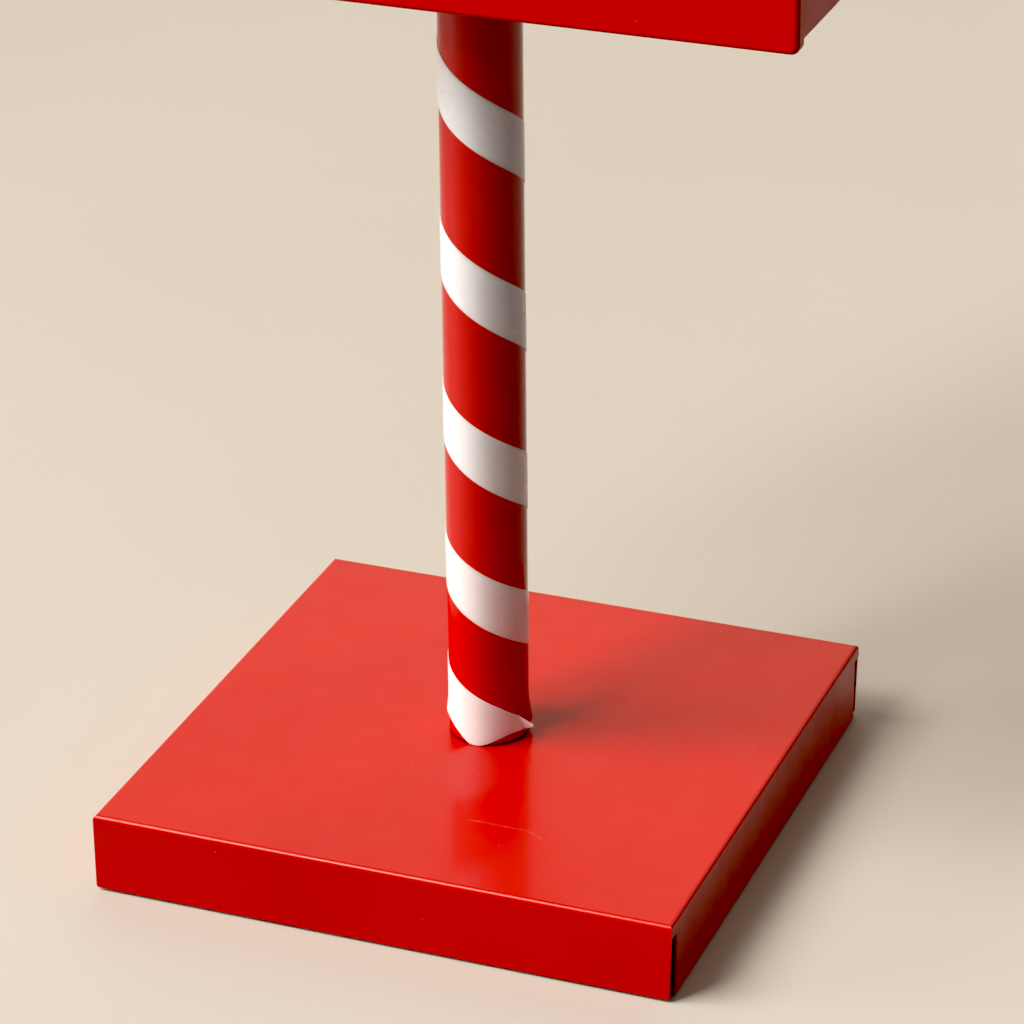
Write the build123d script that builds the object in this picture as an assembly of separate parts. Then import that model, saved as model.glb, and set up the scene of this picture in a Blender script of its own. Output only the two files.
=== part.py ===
from build123d import *

import os
from math import cos, pi, radians, sin

# Street fire alarm box on a striped post with a square weighted foot.
#
# Millimetres. The origin is on the floor under the middle of the post, +Z is up, the door faces -Y and
# +X is to the right of somebody who faces the door. Each function makes one sub-assembly and returns its
# pieces by name; the last lines write one STEP file for each piece.

# ---------------------------------------------------------------- driving dimensions
SHEET = 1.5  # gauge of every folded sheet
BEND = 2.4  # outer radius of a fold

BASE_SIDE = 300.0
BASE_TOP = 42.0
BASE_GAP = 1.5  # daylight between the cover's flanges and the floor
CORNER_SLIT = 6.5  # length missing from a side flange at each open corner
CORNER_CLOSED = 7.0  # the part of a corner that stays closed, below the top
CORNER_TAPER = 1.2  # how far each long flange's right end leans in at its foot
FLANGE_CORNER = 1.6  # radius on its lower corner
BALLAST_SIDE = 262.0
BALLAST_THICK = 10.0
FOOT_R = 15.0
FOOT_INSET = 32.0
FOOT_HOLE_R = 5.0  # moulded hollow in each rubber foot

POST_R = 20.0
POST_WALL = 2.0
WRAP = 0.2  # red film
TAPE = 0.3  # white tape
TAPE_WIDTH_UP = 30.6  # the 25 mm tape, measured along the post
TAPE_FOOT = 38.8  # height of its middle where it begins, on the right of the post
TAPE_PITCH = 67.3  # rise of the first turn
TAPE_SPREAD = 3.2  # what each later turn adds
TAPE_TURNS = 5.2
TAPE_STEPS = 30  # flats in a turn
PLUG_LENGTH = 30.0
BOLT_R = 5.0
BOLT_HEAD_R = 8.5
BOLT_HEAD = 6.4

BOX_BOTTOM = 447.0
BOX_TOP = 840.0
BOX_HALF = 174.0
BOX_FRONT = -62.0
BOX_BACK = 65.0
BOX_LIP = 14.0
STIFFENER = 5.0  # plate over the post
WALL_HOLE_X = 160.0
WALL_HOLE_LOW = 485.0
WALL_HOLE_HIGH = 805.0
WALL_HOLE_R = 3.5

DOOR_HALF = 176.0
DOOR_FRONT = -65.0
DOOR_RIM = 8.0
DOOR_CORNER = 4.0
DOOR_BOTTOM = 445.0
DOOR_TOP = 843.5

HOOD_HALF = 196.0  # wide enough to shelter the hammer and the hinges
HOOD_FRONT = -90.0
HOOD_BACK = 70.0
HOOD_SEAT = 8.0  # height of the brackets under the hood
HOOD_SKIRT = 14.0
HOOD_RISE = 46.0
BRACKET_IN, BRACKET_OUT = 120.0, 168.0  # where each bracket begins and ends, from the middle
BRACKET_SCREWS = (-34.0, 44.0)

HINGE_X = -180.5
HINGE_Y = -53.0
HINGE_R = 4.0
HINGE_PIN_R = 2.0
HINGE_LENGTH = 48.0
HINGE_HEIGHTS = (520.0, 765.0)

WINDOW_Z = 735.0
WINDOW_R = 58.0
GLASS_R = 64.0
GLASS = 3.0
RING_R = 77.0
RING_SCREW_R = 71.5
RING_SCREWS = 6
RING_THICK = 5.0

SIGN_HALF, SIGN_LOW, SIGN_HIGH = 88.0, 548.0, 618.0
SIGN_THICK = 1.2
SIGN_RIVET_INSET = 9.0

LOCK_X = 147.0
LOCK_Z = 640.0
LOCK_R = 9.0
LOCK_DEPTH = 6.0  # how far the barrel reaches in behind the door's face

PLATE_FRONT = 46.0  # front face of the equipment plate
PLATE = 2.0
PLATE_HALF = 150.0
PLATE_BOTTOM = 505.0
PLATE_TOP = 825.0

MOVE_FRONT = -12.0  # front face of the clockwork's front plate
MOVE_BACK = 22.0  # back face of its back plate
MOVE_LEFT, MOVE_RIGHT = -96.0, 52.0
MOVE_BOTTOM, MOVE_TOP = 545.0, 666.0

BARREL_X, BARREL_Z = -55.0, 590.0
BARREL_TEETH, BARREL_MODULE = 60, 1.0
PINION_TEETH = 15
SECOND_ANGLE = 20.0
SECOND_TEETH, SECOND_MODULE = 48, 0.8
FAN_TEETH = 12
FAN_ANGLE = -25.0
PIVOT_R = 1.5
PIVOT_PLAY = 0.1
CODE_R = 24.0

GUIDE_FRONT = -29.0  # front face of the handle's guide plate
HANDLE_Y, HANDLE_Z = -46.0, 745.0
HANDLE_R = 7.5
SLIDER_FRONT, SLIDER_BACK = -26.6, -11.0
SLIDER_FOOT = 735.0
ROD_Y, ROD_R = -18.0, 3.0
SPRING_LOW = 702.0  # shelf that the return spring stands on
LEVER_X, LEVER_Z = -40.0, 655.0
LEVER_FRONT, LEVER_BACK = -21.5, -17.5
CODE_FRONT, CODE_BACK = -16.5, -14.0
CONTACT_X, CONTACT_Z = 34.0, 633.0

GONG_X, GONG_Z = 100.0, 592.0
GONG_R = 48.0
STRIKER_X, STRIKER_Z = 42.8, 535.0

HAMMER_X, HAMMER_Y = 183.0, 5.0
HAMMER_R = 5.0
HAMMER_LOW, HAMMER_HIGH, HAMMER_HEAD = 625.0, 778.0, 766.0
CLIP_HEIGHTS = (655.0, 735.0)
CLIP_HALF = 6.0
GLAND_X, GLAND_Z = 60.0, 478.0
GLAND_BORE = 6.0
TERMINALS = 6

# ---------------------------------------------------------------- places that follow from them
HOOD_BOTTOM = BOX_TOP + HOOD_SEAT - 1.5
BALLAST_TOP = BASE_TOP - SHEET
BALLAST_BOTTOM = BALLAST_TOP - BALLAST_THICK
MESH_1 = BARREL_MODULE * (BARREL_TEETH + PINION_TEETH) / 2
MESH_2 = SECOND_MODULE * (SECOND_TEETH + FAN_TEETH) / 2
SECOND_X = BARREL_X + MESH_1 * cos(radians(SECOND_ANGLE))
SECOND_Z = BARREL_Z + MESH_1 * sin(radians(SECOND_ANGLE))
FAN_X = SECOND_X + MESH_2 * cos(radians(FAN_ANGLE))
FAN_Z = SECOND_Z + MESH_2 * sin(radians(FAN_ANGLE))


# ---------------------------------------------------------------- plain shapes
def block(x0, x1, y0, y1, z0, z1):
    """Box between two corners."""
    middle = Pos((x0 + x1) / 2, (y0 + y1) / 2, (z0 + z1) / 2)
    return middle * Box(x1 - x0, y1 - y0, z1 - z0)


def rod_z(x, y, r, z0, z1):
    """Round bar along Z."""
    return Pos(x, y, (z0 + z1) / 2) * Cylinder(r, z1 - z0)


def rod_y(x, z, r, y0, y1):
    """Round bar along Y."""
    return Pos(x, (y0 + y1) / 2, z) * Rot(90, 0, 0) * Cylinder(r, y1 - y0)


def rod_x(y, z, r, x0, x1):
    """Round bar along X."""
    return Pos((x0 + x1) / 2, y, z) * Rot(0, 90, 0) * Cylinder(r, x1 - x0)


def hex_z(x, y, flat_r, z0, z1):
    """Hexagon bar along Z, flat_r from its middle to a flat."""
    return extrude(Pos(x, y, z0) * RegularPolygon(flat_r, 6, major_radius=False), z1 - z0)


def slab_y(sketch, y0, y1):
    """A sketch drawn in X and Z, thickened from y0 to y1."""
    return extrude(Plane.XZ.offset(-y1) * sketch, amount=y1 - y0)


def hex_y(x, z, flat_r, y0, y1):
    """Hexagon bar along Y."""
    return slab_y(Pos(x, z) * RegularPolygon(flat_r, 6, major_radius=False), y0, y1)


def polygon(points):
    """Closed outline through points, drawn where the points say."""
    return make_face(Polyline(*points, close=True))


def group(solids):
    """Separate solids that share one node."""
    return Compound(children=list(solids))


def screw_y(x, z, r, head_r, head, y_head, y_end):
    """Pan head screw along Y: its head's seat is at y_head, its point at y_end."""
    out = -1 if y_end > y_head else 1
    top = y_head + out * head
    shank = rod_y(x, z, r, min(y_head, y_end), max(y_head, y_end))
    cap = rod_y(x, z, head_r, min(y_head, top), max(y_head, top))
    rim = cap.edges().filter_by(GeomType.CIRCLE).sort_by(Axis.Y)[-1 if out > 0 else 0]
    slot_low, slot_high = sorted((top + out, top - out * head * 0.4))
    return shank + fillet(rim, head * 0.45) - block(
        x - head_r, x + head_r, slot_low, slot_high, z - 0.5, z + 0.5
    )


# ---------------------------------------------------------------- the foot
def base_cover():
    """Square pan, folded down on four sides. The two long flanges run to the corners, and the two side
    flanges stop short of them, so each corner has an open slit. On the right it widens to the floor."""
    half = BASE_SIDE / 2
    pan = block(-half, half, -half, half, BASE_GAP, BASE_TOP)
    pan = fillet(pan.faces().sort_by(Axis.Z)[-1].edges(), BEND)
    inside = half - SHEET
    hollow = block(-inside, inside, -inside, inside, 0, BALLAST_TOP)
    hollow = fillet(hollow.faces().sort_by(Axis.Z)[-1].edges(), BEND - SHEET)
    pan -= hollow
    slit_top = BASE_TOP - CORNER_CLOSED
    for side in (-1, 1):
        for end in (-1, 1):
            y0, y1 = sorted((end * inside, end * (half - CORNER_SLIT)))
            x0, x1 = sorted((side * (inside - 0.1), side * (half + 1)))
            pan -= block(x0, x1, y0, y1, 0, slit_top)
            if side > 0:
                leaning = polygon(
                    [
                        (half - 0.3, slit_top), (half + 1, slit_top),
                        (half + 1, 0), (half - CORNER_TAPER, 0),
                    ]
                )
                y0, y1 = sorted((end * (half + 1), end * inside))
                pan -= slab_y(leaning, y0, y1)
    lower_corners = []
    for edge in pan.edges().filter_by(Axis.Y):
        middle = edge.center()
        if abs(middle.Z - BASE_GAP) < 0.01 and min(abs(middle.X), abs(middle.Y)) > inside:
            lower_corners.append(edge)
    pan = fillet(lower_corners, FLANGE_CORNER)
    return pan - rod_z(0, 0, BOLT_R + 0.3, BALLAST_TOP - 1, BASE_TOP + 1)


def foot_assembly():
    """Cover, steel ballast under it and four rubber feet."""
    half = BALLAST_SIDE / 2
    ballast = block(-half, half, -half, half, BALLAST_BOTTOM, BALLAST_TOP)
    ballast = fillet(ballast.edges().filter_by(Axis.Z), 8)
    ballast -= rod_z(0, 0, BOLT_R + 0.3, BALLAST_BOTTOM - 1, BALLAST_TOP + 1)
    feet = []
    for side in (-1, 1):
        for end in (-1, 1):
            x = side * (half - FOOT_INSET)
            y = end * (half - FOOT_INSET)
            foot = rod_z(x, y, FOOT_R, 0, BALLAST_BOTTOM)
            rim = foot.edges().filter_by(GeomType.CIRCLE).sort_by(Axis.Z)[0]
            foot = fillet(rim, 2)
            feet.append(foot - rod_z(x, y, FOOT_HOLE_R, -1, 8))
    return {"base_cover": base_cover(), "ballast_plate": ballast, "rubber_feet": group(feet)}


# ---------------------------------------------------------------- the post
def tape_band():
    """White tape wound down the post from left to right. Its turns close up towards the foot."""
    inner = POST_R + WRAP + 0.15
    half = TAPE_WIDTH_UP / 2
    sections = []
    for k in range(int(TAPE_TURNS * TAPE_STEPS) + 1):
        turn = k / TAPE_STEPS
        angle = -2 * pi * turn
        height = TAPE_FOOT + TAPE_PITCH * turn + TAPE_SPREAD * turn * turn
        corners = []
        for r, z in (
            (inner, height - half), (inner + TAPE, height - half),
            (inner + TAPE, height + half), (inner, height + half),
        ):
            corners.append((r * cos(angle), r * sin(angle), z))
        sections.append(Wire.make_polygon(corners, close=True))
    band = Solid.make_loft(sections, ruled=True)
    return band & rod_z(0, 0, POST_R + 5, BASE_TOP + 0.1, BOX_BOTTOM - 0.1)


def post_assembly():
    """Steel tube with a threaded plug in each end, red film on it, and the white tape."""
    tube = rod_z(0, 0, POST_R, BASE_TOP, BOX_BOTTOM)
    tube -= rod_z(0, 0, POST_R - POST_WALL, BASE_TOP - 1, BOX_BOTTOM + 1)
    wrap_r = POST_R + 0.01
    wrap = rod_z(0, 0, wrap_r + WRAP, BASE_TOP + 0.1, BOX_BOTTOM - 0.1)
    wrap -= rod_z(0, 0, wrap_r, BASE_TOP, BOX_BOTTOM)
    plugs, bolts, washers = [], [], []
    ends = (
        (BASE_TOP, 1, BALLAST_BOTTOM),
        (BOX_BOTTOM, -1, BOX_BOTTOM + SHEET + STIFFENER),
    )
    for face, inward, seat in ends:
        z0, z1 = sorted((face, face + inward * PLUG_LENGTH))
        plug = rod_z(0, 0, POST_R - POST_WALL, z0, z1)
        plugs.append(plug - rod_z(0, 0, BOLT_R, z0 - 1, z1 + 1))
        washer = seat - inward * 2
        z0, z1 = sorted((seat, washer))
        washers.append(rod_z(0, 0, 10, z0, z1) - rod_z(0, 0, BOLT_R, z0 - 1, z1 + 1))
        z0, z1 = sorted((washer, washer - inward * BOLT_HEAD))
        head = hex_z(0, 0, BOLT_HEAD_R, z0, z1)
        z0, z1 = sorted((washer, face + inward * (PLUG_LENGTH - 4)))
        bolts.append(head + rod_z(0, 0, BOLT_R, z0, z1))
    return {
        "post_tube": tube,
        "red_wrap": wrap,
        "white_tape": tape_band(),
        "post_plugs": group(plugs),
        "post_bolts": group(bolts),
        "bolt_washers": group(washers),
    }


# ---------------------------------------------------------------- the box
def box_body():
    """Folded steel box, open at the front inside a narrow return lip."""
    body = block(-BOX_HALF, BOX_HALF, BOX_FRONT, BOX_BACK, BOX_BOTTOM, BOX_TOP)
    body = fillet(body.edges().filter_by(Axis.Y), BEND)
    inner = BOX_HALF - SHEET
    body -= block(
        -inner, inner, BOX_FRONT + SHEET, BOX_BACK - SHEET, BOX_BOTTOM + SHEET, BOX_TOP - SHEET
    )
    mouth = BOX_HALF - BOX_LIP
    body -= block(
        -mouth, mouth, BOX_FRONT - 1, BOX_FRONT + SHEET + 1, BOX_BOTTOM + BOX_LIP, BOX_TOP - BOX_LIP
    )
    body -= rod_z(0, 0, BOLT_R + 0.3, BOX_BOTTOM - 1, BOX_BOTTOM + SHEET + 1)
    body -= rod_y(GLAND_X, GLAND_Z, 10.2, BOX_BACK - SHEET - 1, BOX_BACK + 1)
    for x in (-WALL_HOLE_X, WALL_HOLE_X):
        for z in (WALL_HOLE_LOW, WALL_HOLE_HIGH):
            body -= rod_y(x, z, WALL_HOLE_R, BOX_BACK - SHEET - 1, BOX_BACK + 1)
    return body


def hood_shell():
    """Gable roof with a short skirt, open underneath."""

    def gable(inset, floor):
        eave = HOOD_BOTTOM + HOOD_SKIRT - inset * 0.25
        ridge = HOOD_BOTTOM + HOOD_SKIRT + HOOD_RISE - inset
        half = HOOD_HALF - inset
        return polygon([(-half, floor), (half, floor), (half, eave), (0, ridge), (-half, eave)])

    shell = slab_y(gable(0, HOOD_BOTTOM), HOOD_FRONT, HOOD_BACK)
    shell = fillet(shell.edges().filter_by(Axis.Y).group_by(Axis.Z)[-1], 6)
    return shell - slab_y(gable(SHEET, HOOD_BOTTOM - 1), HOOD_FRONT + SHEET, HOOD_BACK - SHEET)


def hood_assembly():
    """Rain hood, the soffit plate that closes it, two brackets that lift it off the box, and screws."""
    gap = 0.2
    soffit_low = BOX_TOP + HOOD_SEAT
    inset = SHEET + gap
    soffit = block(
        -HOOD_HALF + inset, HOOD_HALF - inset, HOOD_FRONT + inset, HOOD_BACK - inset,
        soffit_low, soffit_low + SHEET,
    )
    brackets, screws = [], []
    for side in (-1, 1):
        x0, x1 = sorted((side * BRACKET_IN, side * BRACKET_OUT))
        bracket = block(x0, x1, -48, 58, BOX_TOP, soffit_low)
        bracket -= block(x0 + SHEET, x1 - SHEET, -49, 59, BOX_TOP - 1, soffit_low - SHEET)
        brackets.append(bracket)
        for y in BRACKET_SCREWS:
            x = side * (BRACKET_IN + BRACKET_OUT) / 2
            screws.append(rod_z(x, y, 4.5, soffit_low + SHEET, soffit_low + SHEET + 3))
    return {
        "hood_shell": hood_shell(),
        "hood_soffit": soffit,
        "hood_brackets": group(brackets),
        "hood_screws": group(screws),
    }


def box_fittings():
    """What is fixed to the box: stiffener over the post, equipment plate, cable gland and seal."""
    floor = BOX_BOTTOM + SHEET
    stiffener = block(-60, 60, -45, 45, floor, floor + STIFFENER)
    stiffener -= rod_z(0, 0, BOLT_R + 0.3, floor - 1, floor + STIFFENER + 1)
    plate = block(
        -PLATE_HALF, PLATE_HALF, PLATE_FRONT, PLATE_FRONT + PLATE, PLATE_BOTTOM, PLATE_TOP
    )
    plate = fillet(plate.edges().filter_by(Axis.Y), 6)
    standoffs, screws = [], []
    for x in (-PLATE_HALF + 14, PLATE_HALF - 14):
        for z in (PLATE_BOTTOM + 14, PLATE_TOP - 14):
            plate -= rod_y(x, z, 2.5, PLATE_FRONT - 1, PLATE_FRONT + PLATE + 1)
            standoffs.append(
                rod_y(x, z, 6, PLATE_FRONT + PLATE, BOX_BACK - SHEET)
                - rod_y(x, z, 2.5, PLATE_FRONT + PLATE - 1, PLATE_FRONT + PLATE + 10)
            )
            screws.append(screw_y(x, z, 2.5, 5, 3, PLATE_FRONT, PLATE_FRONT + PLATE + 8))
    back = BOX_BACK
    gland = rod_y(GLAND_X, GLAND_Z, 10, back - 12, back) + hex_y(GLAND_X, GLAND_Z, 13, back, back + 7)
    dome = rod_y(GLAND_X, GLAND_Z, 12, back + 7, back + 22)
    tip = dome.edges().filter_by(GeomType.CIRCLE).sort_by(Axis.Y)[-1]
    gland += fillet(tip, 4)
    gland -= rod_y(GLAND_X, GLAND_Z, GLAND_BORE, back - 13, back + 23)
    nut = hex_y(GLAND_X, GLAND_Z, 13, back - SHEET - 5, back - SHEET)
    nut -= rod_y(GLAND_X, GLAND_Z, 10, back - SHEET - 6, back)
    outer, inner = BOX_HALF - 2.5, BOX_HALF - BOX_LIP + 1.5
    low, high = BOX_BOTTOM + 2.5, BOX_TOP - 2.5
    seal = block(-outer, outer, BOX_FRONT - 1.2, BOX_FRONT, low, high)
    seal = fillet(seal.edges().filter_by(Axis.Y), 6)
    step = outer - inner
    seal -= block(-inner, inner, BOX_FRONT - 2, BOX_FRONT + 1, low + step, high - step)
    return {
        "box_body": box_body(),
        "head_stiffener": stiffener,
        "mounting_plate": plate,
        "plate_standoffs": group(standoffs),
        "plate_screws": group(screws),
        "cable_gland": gland,
        "gland_locknut": nut,
        "door_seal": seal,
    }


# ---------------------------------------------------------------- the door
def door_panel():
    """Shallow pan that covers the front of the box, with its window and lock holes."""
    back = DOOR_FRONT + DOOR_RIM
    pan = block(-DOOR_HALF, DOOR_HALF, DOOR_FRONT, back, DOOR_BOTTOM, DOOR_TOP)
    pan = fillet(pan.edges().filter_by(Axis.Y), DOOR_CORNER)
    pan = fillet(pan.faces().sort_by(Axis.Y)[0].edges(), BEND)
    inner = DOOR_HALF - SHEET
    hollow = block(
        -inner, inner, DOOR_FRONT + SHEET, back + 1, DOOR_BOTTOM + SHEET, DOOR_TOP - SHEET
    )
    hollow = fillet(hollow.edges().filter_by(Axis.Y), DOOR_CORNER - SHEET)
    pan -= fillet(hollow.faces().sort_by(Axis.Y)[0].edges(), BEND - SHEET)
    pan -= rod_y(0, WINDOW_Z, WINDOW_R, DOOR_FRONT - 1, back)
    pan -= rod_y(LOCK_X, LOCK_Z, LOCK_R + 0.2, DOOR_FRONT - 1, back)
    for x, z in ring_screw_places():
        pan -= rod_y(x, z, 2.2, DOOR_FRONT - 1, back)
    return pan


def ring_screw_places():
    """Centres of the screws round the window."""
    places = []
    for k in range(RING_SCREWS):
        angle = 2 * pi * (k + 0.5) / RING_SCREWS
        places.append((RING_SCREW_R * cos(angle), WINDOW_Z + RING_SCREW_R * sin(angle)))
    return places


def ring_y(r_in, r_out, y0, y1):
    """Flat ring round the window's middle."""
    return rod_y(0, WINDOW_Z, r_out, y0, y1) - rod_y(0, WINDOW_Z, r_in, y0 - 1, y1 + 1)


def window_assembly():
    """Break glass with its outer ring, rubber channel, inner ring and screws."""
    inner_face = DOOR_FRONT + SHEET
    ring = ring_y(WINDOW_R, RING_R, DOOR_FRONT - RING_THICK, DOOR_FRONT)
    front = ring.edges().filter_by(GeomType.CIRCLE).group_by(Axis.Y)[0]
    ring = fillet(front, 2.2)
    channel_back = inner_face + 1 + GLASS + 1
    glass = rod_y(0, WINDOW_Z, GLASS_R, inner_face + 1, inner_face + 1 + GLASS)
    seal = ring_y(WINDOW_R + 0.5, GLASS_R + 2.5, inner_face, channel_back)
    seal -= rod_y(0, WINDOW_Z, GLASS_R, inner_face + 1, inner_face + 1 + GLASS)
    keeper = ring_y(WINDOW_R, RING_R, channel_back, channel_back + 1.5)
    screws = []
    for x, z in ring_screw_places():
        ring -= rod_y(x, z, 2.2, DOOR_FRONT - RING_THICK - 1, DOOR_FRONT + 1)
        keeper -= rod_y(x, z, 2.2, channel_back - 1, channel_back + 3)
        screws.append(screw_y(x, z, 2.0, 3.6, 2.2, DOOR_FRONT - RING_THICK, channel_back + 1.5))
    return {
        "window_ring": ring,
        "window_glass": glass,
        "window_seal": seal,
        "window_keeper": keeper,
        "window_screws": group(screws),
    }


def sign_assembly():
    """Blank enamelled plate under the window, held by four rivets."""
    face = DOOR_FRONT - SIGN_THICK
    plate = block(-SIGN_HALF, SIGN_HALF, face, DOOR_FRONT, SIGN_LOW, SIGN_HIGH)
    plate = fillet(plate.edges().filter_by(Axis.Y), 9)
    rivets = []
    for x in (-SIGN_HALF + SIGN_RIVET_INSET, SIGN_HALF - SIGN_RIVET_INSET):
        for z in (SIGN_LOW + SIGN_RIVET_INSET, SIGN_HIGH - SIGN_RIVET_INSET):
            dome = rod_y(x, z, 3.2, face - 1.4, face)
            rim = dome.edges().filter_by(GeomType.CIRCLE).sort_by(Axis.Y)[0]
            rivets.append(fillet(rim, 1.3))
    return {"sign_plate": plate, "sign_rivets": group(rivets)}


def lock_assembly():
    """Cam lock: fixed barrel and nut in the door, and the plug and cam that the key turns."""
    front = DOOR_FRONT
    inner = front + SHEET
    end = front + LOCK_DEPTH
    barrel = rod_y(LOCK_X, LOCK_Z, LOCK_R, front - 1, end)
    collar = rod_y(LOCK_X, LOCK_Z, 12, front - 3, front)
    rim = collar.edges().filter_by(GeomType.CIRCLE).sort_by(Axis.Y)[0]
    barrel += fillet(rim, 1.2)
    barrel -= rod_y(LOCK_X, LOCK_Z, 6.05, front - 4, end + 1)
    nut = hex_y(LOCK_X, LOCK_Z, 10.5, inner, inner + 4)
    nut -= rod_y(LOCK_X, LOCK_Z, LOCK_R, inner - 1, inner + 5)
    plug = rod_y(LOCK_X, LOCK_Z, 6, front - 2.4, end + 0.2)
    plug -= block(LOCK_X - 4, LOCK_X + 4, front - 5, front + 3, LOCK_Z - 0.9, LOCK_Z + 0.9)
    plug += rod_y(LOCK_X, LOCK_Z, 3, end + 0.2, end + 5)
    cam = rod_y(LOCK_X, LOCK_Z, 8, end + 0.3, end + 2.8)
    cam += block(LOCK_X - 6, LOCK_X + 6, end + 0.3, end + 2.8, LOCK_Z - 24, LOCK_Z)
    cam -= rod_y(LOCK_X, LOCK_Z, 3, end, end + 3)
    flap_z = LOCK_Z + 17
    flap_face = front - 3.4
    flap = rod_y(LOCK_X, LOCK_Z, 9.5, flap_face - 1.2, flap_face)
    flap += rod_y(LOCK_X, flap_z, 5, flap_face - 1.2, flap_face)
    flap += block(LOCK_X - 5, LOCK_X + 5, flap_face - 1.2, flap_face, LOCK_Z, flap_z)
    flap -= rod_y(LOCK_X, flap_z, 2.1, flap_face - 2, flap_face + 1)
    stud = rod_y(LOCK_X, flap_z, 2.0, flap_face - 1.6, front)
    stud += rod_y(LOCK_X, flap_z, 3.6, flap_face - 3.2, flap_face - 1.5)
    return {
        "lock_barrel": barrel,
        "lock_nut": nut,
        "lock_plug": plug,
        "lock_cam": cam,
        "keyhole_cover": flap,
        "cover_stud": stud,
    }


def hinge_assembly():
    """Two butt hinges on the left: fixed leaves on the box, leaves on the door's rim, and pins."""
    fixed, moving, pins = [], [], []
    leaf = SHEET
    third = HINGE_LENGTH / 3
    play = 0.3
    rim_back = DOOR_FRONT + DOOR_RIM
    for middle in HINGE_HEIGHTS:
        low, high = middle - HINGE_LENGTH / 2, middle + HINGE_LENGTH / 2
        bore = rod_z(HINGE_X, HINGE_Y, HINGE_PIN_R + 0.05, low - 1, high + 1)
        back = HINGE_Y + HINGE_R
        arm = block(HINGE_X, -BOX_HALF, back - leaf, back, low, high)
        arm += block(-BOX_HALF - leaf, -BOX_HALF, back - leaf, -22, low, high)
        arm -= block(HINGE_X - 9, -DOOR_HALF + 1.2, HINGE_Y - 5, back + 1, low + third, high - third)
        for z0, z1 in ((low, low + third), (high - third, high)):
            arm += rod_z(HINGE_X, HINGE_Y, HINGE_R, z0, z1)
        fixed.append(arm - bore)
        front = HINGE_Y - HINGE_R
        z0, z1 = low + third + play, high - third - play
        wing = block(-DOOR_HALF - leaf, -DOOR_HALF, DOOR_FRONT + BEND, rim_back, low, high)
        wing += block(HINGE_X, -DOOR_HALF, front, front + leaf, z0, z1)
        wing += rod_z(HINGE_X, HINGE_Y, HINGE_R, z0, z1)
        moving.append(wing - bore)
        pin = rod_z(HINGE_X, HINGE_Y, HINGE_PIN_R, low - 1.2, high)
        pins.append(pin + rod_z(HINGE_X, HINGE_Y, HINGE_R - 0.4, high, high + 2.2))
    return {
        "hinge_box_leaves": group(fixed),
        "hinge_door_leaves": group(moving),
        "hinge_pins": group(pins),
    }


# ---------------------------------------------------------------- the pull
def pull_assembly():
    """White handle behind the glass, its guide plate, slider and rod, return spring and trip lever."""
    face = GUIDE_FRONT
    guide = block(-46, 46, face, face + 2, 694, 796)
    guide = fillet(guide.edges().filter_by(Axis.Y), 6)
    guide -= block(-5.2, 5.2, face - 1, face + 3, 716, 766)
    shelf_top = SPRING_LOW
    guide += block(-13, 13, face + 2, -9, shelf_top - 2, shelf_top)
    guide -= rod_z(0, ROD_Y, ROD_R + 0.3, shelf_top - 3, shelf_top + 1)
    pillars = []
    for x in (-38, 38):
        for z in (702, 788):
            pillars.append(rod_y(x, z, 4, face + 2, PLATE_FRONT))
            guide -= rod_y(x, z, 2, face - 1, face + 3)
    grip = rod_x(HANDLE_Y, HANDLE_Z, HANDLE_R, -34, 34)
    grip = fillet(grip.edges().filter_by(GeomType.CIRCLE), 4)
    for x in (-9, 9):
        grip += rod_x(HANDLE_Y, HANDLE_Z, HANDLE_R + 1, x - 1.5, x + 1.5)
    handle = grip + block(-4.8, 4.8, HANDLE_Y, SLIDER_FRONT, HANDLE_Z - 6, HANDLE_Z + 6)
    handle += rod_y(0, HANDLE_Z, 9, HANDLE_Y + 6, HANDLE_Y + 10)
    slider = block(-15, 15, SLIDER_FRONT, SLIDER_BACK, SLIDER_FOOT, SLIDER_FOOT + 22)
    slider = fillet(slider.edges().filter_by(Axis.Y), 3)
    slider += rod_z(0, ROD_Y, ROD_R, LEVER_Z + 5.5, SLIDER_FOOT)
    coil_r, wire_r = 6.4, 0.8
    low = shelf_top + wire_r + 0.1
    high = SLIDER_FOOT - wire_r - 0.1
    helix = Helix(pitch=4.2, height=high - low, radius=coil_r)
    ring = Plane(origin=helix @ 0, z_dir=helix % 0) * Circle(wire_r)
    spring = Pos(0, ROD_Y, low) * sweep(ring, path=helix, is_frenet=True)
    lever = rod_y(LEVER_X, LEVER_Z, 7, LEVER_FRONT, LEVER_BACK)
    arm = [(LEVER_X, LEVER_Z + 5), (6, LEVER_Z + 5), (6, LEVER_Z + 1), (LEVER_X, LEVER_Z - 5)]
    lever += slab_y(polygon(arm), LEVER_FRONT, LEVER_BACK)
    tail = [
        (LEVER_X - 6, LEVER_Z), (LEVER_X + 5, LEVER_Z),
        (LEVER_X - 1, LEVER_Z - 38), (LEVER_X - 6, LEVER_Z - 38),
    ]
    lever += slab_y(polygon(tail), LEVER_FRONT, LEVER_BACK)
    lever += rod_y(LEVER_X - 3.5, LEVER_Z - 35.5, 2, LEVER_BACK, CODE_BACK)
    lever -= rod_y(LEVER_X, LEVER_Z, 3.05, LEVER_FRONT - 1, LEVER_BACK + 1)
    return {
        "guide_plate": guide,
        "guide_pillars": group(pillars),
        "pull_handle": handle,
        "slider_rod": slider,
        "return_spring": spring,
        "trip_lever": lever,
    }


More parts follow.
